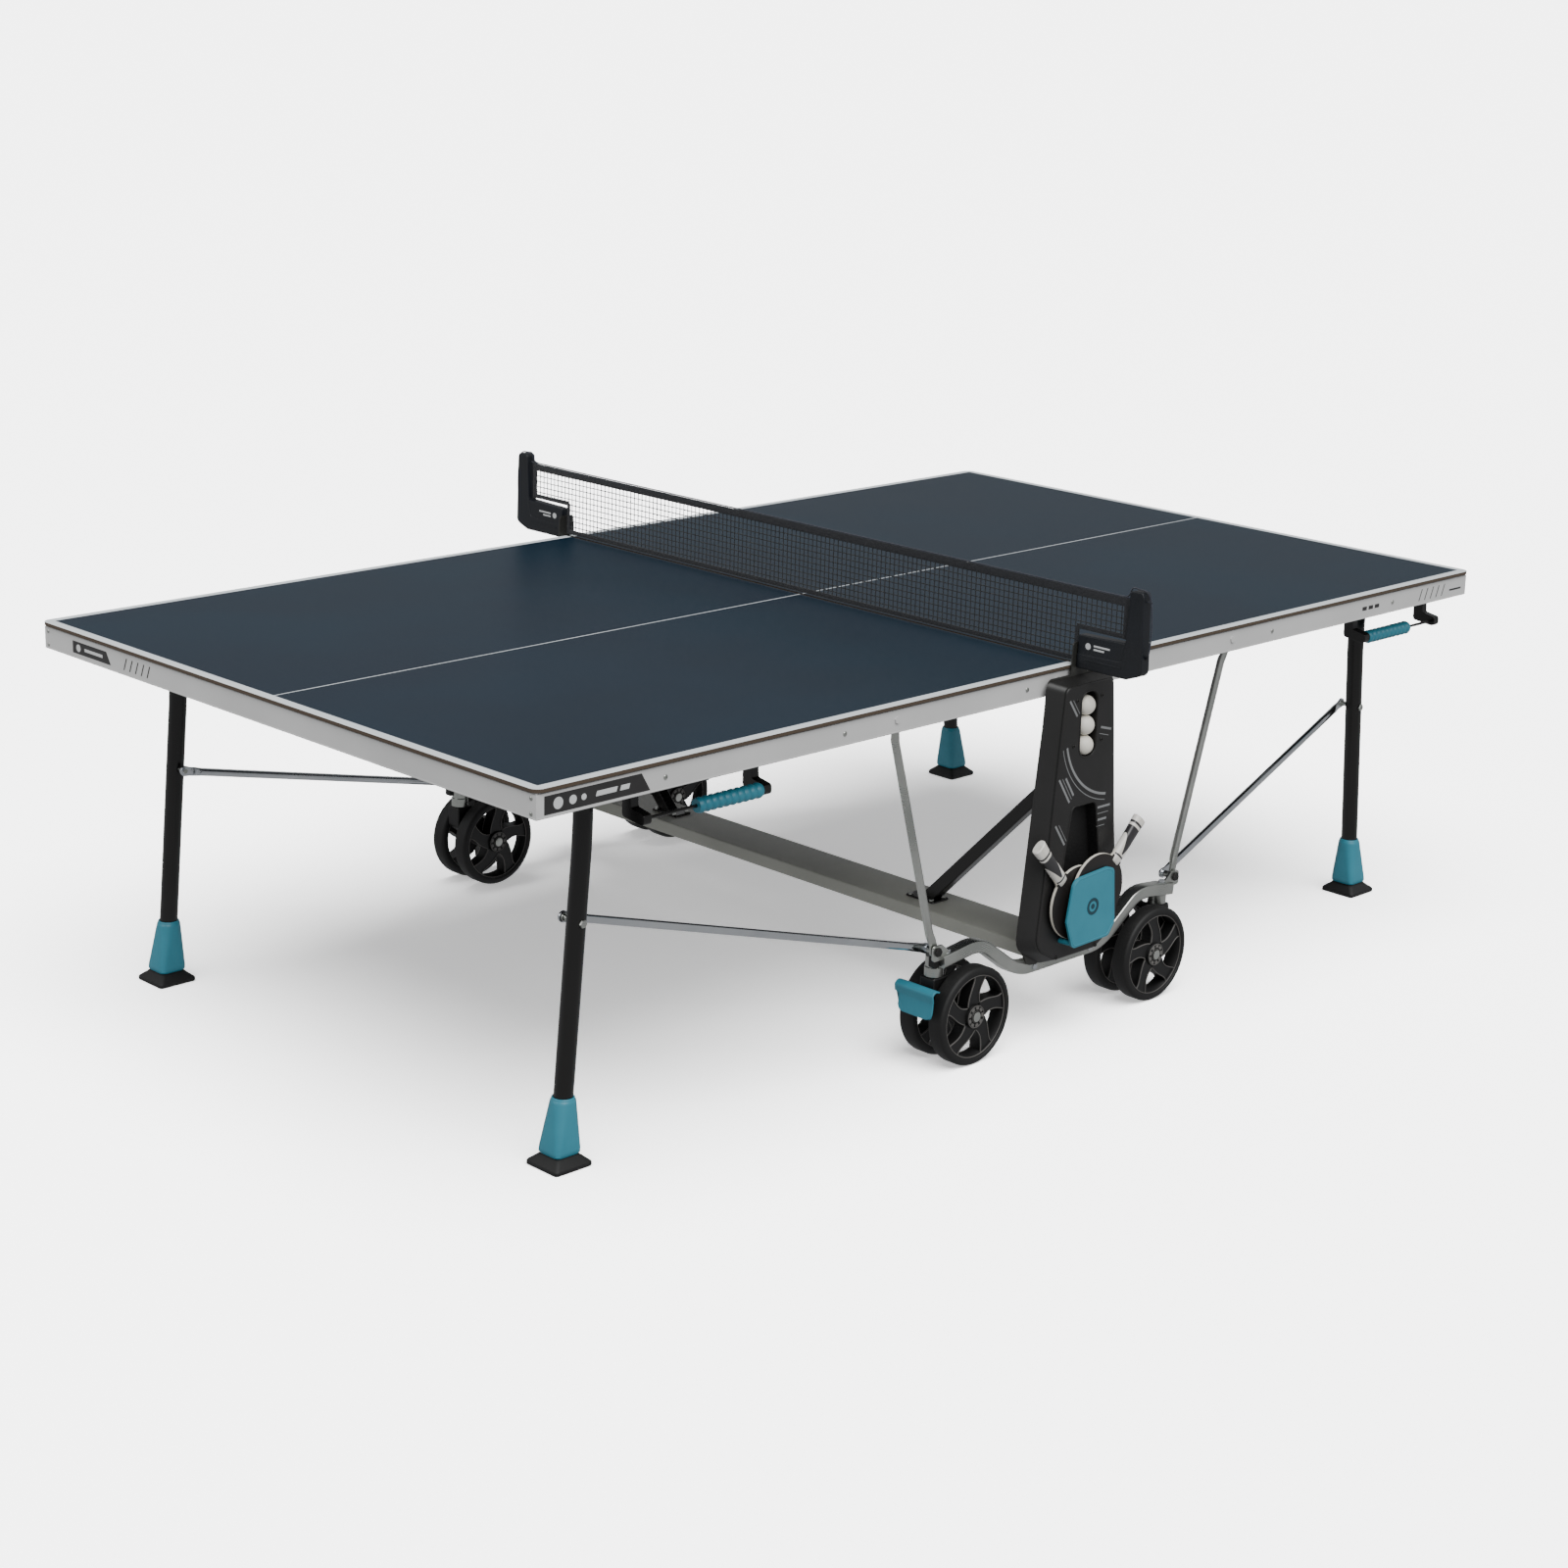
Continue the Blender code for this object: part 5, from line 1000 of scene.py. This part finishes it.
def makeHandles():
    (py, pz), (ry, rz), w = handle["pivot"], handle["rod"], handle["arm"] / 2
    outline = roundOutline([(py + 0.011, pz + 0.004, 0.004), (py - 0.011, pz + 0.004, 0.004), (py - 0.013, rz + 0.016, 0.004),
                            (ry - 0.011, rz + 0.010, 0.007), (ry - 0.011, rz - 0.011, 0.008), (py + 0.011, rz - 0.004, 0.008)])
    for half, sx in halves:
        def mirrored(part):
            return part[0] * [sx, 1, 1], part[1]

        inner, outer = handle["span"][half]
        low, high = inner - w - 0.009, outer + w + 0.009
        shaft = spun([(low, 0.0042), (low + 0.001, 0.0050), (high - 0.001, 0.0050), (high, 0.0042)], (0, py, pz), "x", 28)
        rod = disc((0, ry, rz), 0.0030, inner, outer, "x", 20)
        arms = [plate(outline, sx * (x - w), sx * (x + w), "x") for x in (inner, outer)]
        piece(f"{half}HandleArms", [*arms, mirrored(shaft), mirrored(rod)], f"{half}_handle", "black",
              (f"{half}_unlock_handle",), bevel=0.0018, segments=3)
        # grip: its radius is a raised cosine of the place along it, flattened between the ribs
        t = np.linspace(0, handle["ribs"], handle["ribs"] * 12 + 1)
        radius = handle["grip"] - 0.0026 * (1 - (0.5 - 0.5 * np.cos(2 * np.pi * t)) ** 0.55)
        place = inner + w + 0.001 + handle["length"] * t / handle["ribs"]
        profile = [(place[0], 0.0036), (place[0], radius[0] - 0.001), *zip(place, radius), (place[-1], 0.0036)]
        grip = turned(profile, (0, ry, rz), "x", 40)
        piece(f"{half}GripTube", [mirrored(grip)], f"{half}_handle", "teal", (f"{half}_grip",))


makeHandles()
print("handles made")

caster = {"x": 0.342, "y": 0.730, "axleX": 0.277, "wheelR": 0.100, "width": 0.038, "fork": 0.037,
          "topZ": 0.1855, "play": 0.001}
wheel = {"rim": 0.082, "hub": 0.0235, "spokes": 5, "curl": 0.30, "narrow": 0.0118, "flare": 0.0175, "cells": 9}
pedal = {"line": [(0.3720, 0, 0.1690), (0.3820, 0, 0.1715), (0.3905, 0, 0.1660), (0.3900, 0, 0.1560), (0.3890, 0, 0.1470),
                  (0.3905, 0, 0.1320), (0.3935, 0, 0.1150)],
         "stem": [(0.3660, 0.1450), (0.3660, 0.1550), (0.3880, 0.1560), (0.3905, 0.1400)],
         "thick": 0.0034, "corner": 0.014, "outer": 0.0445, "width": 0.0890, "lipZ": 0.1480}


def makeForks():
    x, ax, top = caster["x"], caster["axleX"], caster["topZ"]
    corners = [(x - 0.020, top, 0.004), (x + 0.0195, top, 0.004), (x + 0.0195, 0.140, 0.012), (ax + 0.014, 0.082, 0.014),
               (ax - 0.018, 0.082, 0.014), (ax - 0.022, 0.118, 0.014)]
    reach = caster["fork"] / 2 + caster["width"] + caster["play"] * 2
    cap = [(reach, 0.0060), (reach, 0.0100), (reach + 0.0012, 0.0098), (reach + 0.002, 0.0080)]
    for tag, node, sx, sy in quarters:
        y = sy * caster["y"]
        body = plate(roundOutline(flipped(corners, sx), 6), y - caster["fork"] / 2, y + caster["fork"] / 2)
        piece(f"{tag}Fork", [body], f"{node}_caster", "wheel", (f"{node}_caster_fork",), bevel=0.003, segments=3)
        stem = spun([(0.180, 0.0080), (0.205, 0.0080), (0.206, 0.0070)], (sx * x, y, 0), "z")
        axle = spun([(-t, r) for t, r in reversed(cap)] + cap, (sx * ax, y, caster["wheelR"]), "y", 32)
        piece(f"{tag}Axle", [stem, axle], f"{node}_caster", "zinc")


def makeWheel(tag, node, sx, centreY):
    w, r0, rim, hubR = caster["width"] / 2, caster["wheelR"], wheel["rim"], wheel["hub"]
    centre = np.array([sx * caster["axleX"], centreY, r0])

    def bothFaces(half, steps):
        return turned(half + [(-t, r) for t, r in reversed(half)], centre, "y", steps)

    def onFace(r, a):
        return np.stack([centre[0] + r * np.cos(a), centre[2] + r * np.sin(a)], 1)

    # tread and rim as one turned ring with rounded shoulders and a groove beside the rim
    shoulder = [(w - 0.007 * (1 - math.cos(t)), r0 - 0.009 + 0.009 * math.sin(t)) for t in np.linspace(0, np.pi / 2, 6)]
    tread = bothFaces([(0.012, rim - 0.0005), (w - 0.004, rim + 0.0015), (w - 0.0015, rim + 0.0025),
                       (w - 0.0012, rim + 0.0050), (w, rim + 0.0060)] + shoulder, 72)
    hub = bothFaces([(w, 0.0068), (w, 0.0125), (w - 0.0018, 0.0135), (w - 0.0018, hubR - 0.0035), (w - 0.0005, hubR - 0.0030),
                     (w - 0.0005, hubR), (w - 0.003, hubR + 0.0008)], 48)
    spokes, ridges = [], []
    r = np.linspace(hubR - 0.002, rim + 0.002, 16)
    t = (r - r[0]) / (r[-1] - r[0])
    wide = wheel["narrow"] + 0.0085 * (1 - t) ** 3 + (wheel["flare"] - wheel["narrow"]) * t ** 6
    clear = wide / r < np.pi / wheel["spokes"] - 0.02      # where neighbouring spokes stand apart
    curl = sx * wheel["curl"] * (ease((r - hubR) / (rim - hubR)) - 0.5)
    for k in range(wheel["spokes"]):
        angle = np.pi / 2 + 2 * np.pi * k / wheel["spokes"] + curl
        edges = [onFace(r, angle + s * wide / r) for s in (-1, 1)]
        spokes.append(plate(np.concatenate([edges[0], edges[1][::-1]]), centreY - w * 0.72, centreY + w * 0.72))
        # a low ridge along each edge of the spoke, on both faces
        for y in (centreY - w * 0.72, centreY + w * 0.72):
            for edge in edges:
                line = np.column_stack([edge[:, 0], np.full(len(edge), y), edge[:, 1]])[clear]
                ridges.append(sweep(line, boxSection(0.0014, 0.0030, 0.0005, 2), (0, 1, 0)))
    for face in (-1, 1):
        y = centreY + face * (w - 0.0012)
        for k in range(wheel["cells"]):
            a = 2 * np.pi * k / wheel["cells"] + np.array([-0.22, -0.209, 0.209, 0.22])
            ridges.append(plate(onFace(np.array([0.0150, 0.0210, 0.0210, 0.0150]), a), y - 0.0010, y + 0.0010))
        for radius, depth in ((rim + 0.0010, 0.0026), (hubR - 0.0012, 0.0006), (0.0112, 0.0006)):
            profile = ringSection(0.0008, 8)[:, ::-1] + [0, radius]
            ridges.append(turned(profile, (centre[0], centreY + face * (w - depth), centre[2]), "y", 60))
    piece(f"{tag}Rim", [tread], node, "tread", (node,))
    piece(f"{tag}Spokes", [hub] + spokes, node, "wheel")
    piece(f"{tag}Ridges", ridges, node, "ridge")


def makePedal(tag, node, sx, sy):
    # Scoop: a curved sheet with rounded lower corners, under a wider lip that ends in a rounded ear.
    curve = smoothLine(pedal["line"])[:, [0, 2]]
    slope = unit(np.gradient(curve, axis=0))
    normal = np.stack([-slope[:, 1], slope[:, 0]], 1) * pedal["thick"] / 2
    z, radius = curve[:, 1], pedal["corner"]
    corner = np.clip(radius - (z - z.min()), 0, radius)
    inset = radius - np.sqrt(np.maximum(radius ** 2 - corner ** 2, 0))
    lip = ease(np.clip((z - pedal["lipZ"]) / 0.0060, 0, 1))
    u = np.linspace(0, 1, 25)[:, None]
    # the inner end reaches further than the outer one
    y = caster["y"] + pedal["outer"] - inset + lip * 0.0010 - u * (pedal["width"] - 2 * inset + lip * 0.0120)
    front, back = (np.stack([np.broadcast_to(line[:, 0], y.shape), sy * y, np.broadcast_to(line[:, 1], y.shape)], -1)
                   for line in (curve + normal, curve - normal))
    sheet = skin(np.concatenate([front, back[:, ::-1]], 1) * [sx, 1, 1])
    stem = plate([(sx * x, height) for x, height in pedal["stem"]], sy * caster["y"] - 0.014, sy * caster["y"] + 0.014)
    barrel = spun([(-0.014, 0.0052), (0.014, 0.0052)], (sx * 0.3675, sy * caster["y"], 0.150))
    piece(f"{tag}Pedal", [sheet, stem, barrel], f"{node}_brake_pedal", "teal", (f"{node}_brake_pedal",), bevel=0.0008)


makeForks()
offset = caster["fork"] / 2 + caster["play"] + caster["width"] / 2
for tag, node, sx, sy in quarters:
    for where, s in (("outer", 1), ("inner", -1)):
        makeWheel(f"{tag}{where.title()}", f"{node}_{where}_wheel", sx, sy * (caster["y"] + s * offset))
makePedal("leftNear", "left_near", -1, -1)
makePedal("rightFar", "right_far", 1, 1)
print("casters made")


def aimedLight(name, kind, place, strength, onlyOn=None, **settings):
    light = bpy.data.lights.new(name, kind)
    light.energy = strength
    for key, value in settings.items():
        setattr(light, key, value)
    lamp = bpy.data.objects.new(name, light)
    lamp.location = place
    lamp.rotation_mode = "QUATERNION"
    lamp.rotation_quaternion = Vector(place).to_track_quat("Z", "Y")
    bpy.context.collection.objects.link(lamp)
    if onlyOn:  # light linking: this lamp reaches one object, and everything else still shades it
        lit = bpy.data.collections.new(name + "Reach")
        lit.objects.link(onlyOn)
        lamp.light_linking.receiver_collection = lit


def makeStage():
    mesh = bpy.data.meshes.new("floor")
    reach = studio["floorReach"]
    mesh.from_pydata([(-reach, -reach, 0), (reach, -reach, 0), (reach, reach, 0), (-reach, reach, 0)], [], [(0, 1, 2, 3)])
    floor = bpy.data.objects.new("floor", mesh)
    bpy.context.collection.objects.link(floor)
    paint = Finish("floorPaint", studio["floorColour"], 0.9, Emission_Color=srgb("#ffffff"),
                   Emission_Strength=studio["floorGlow"], Specular_IOR_Level=0.1)
    mesh.materials.append(paint.material)
    floor.visible_diffuse = floor.visible_glossy = False  # the floor only shows: no light is thrown up by it
    world = bpy.data.worlds.new("studio")
    world.use_nodes = True
    background = world.node_tree.nodes["Background"]
    background.inputs["Color"].default_value = srgb(studio["worldColour"])
    background.inputs["Strength"].default_value = studio["worldStrength"]
    bpy.context.scene.world = world
    aimedLight("sun", "SUN", studio["sunPlace"], studio["sunStrength"], angle=math.radians(studio["sunSpread"]))
    aimedLight("floorLight", "SUN", studio["floorPlace"], studio["floorSun"], floor, angle=math.radians(studio["floorSpread"]))
    aimedLight("sideLight", "AREA", studio["sidePlace"], studio["sidePower"], size=studio["sideSize"])


makeStage()
print("stage made")
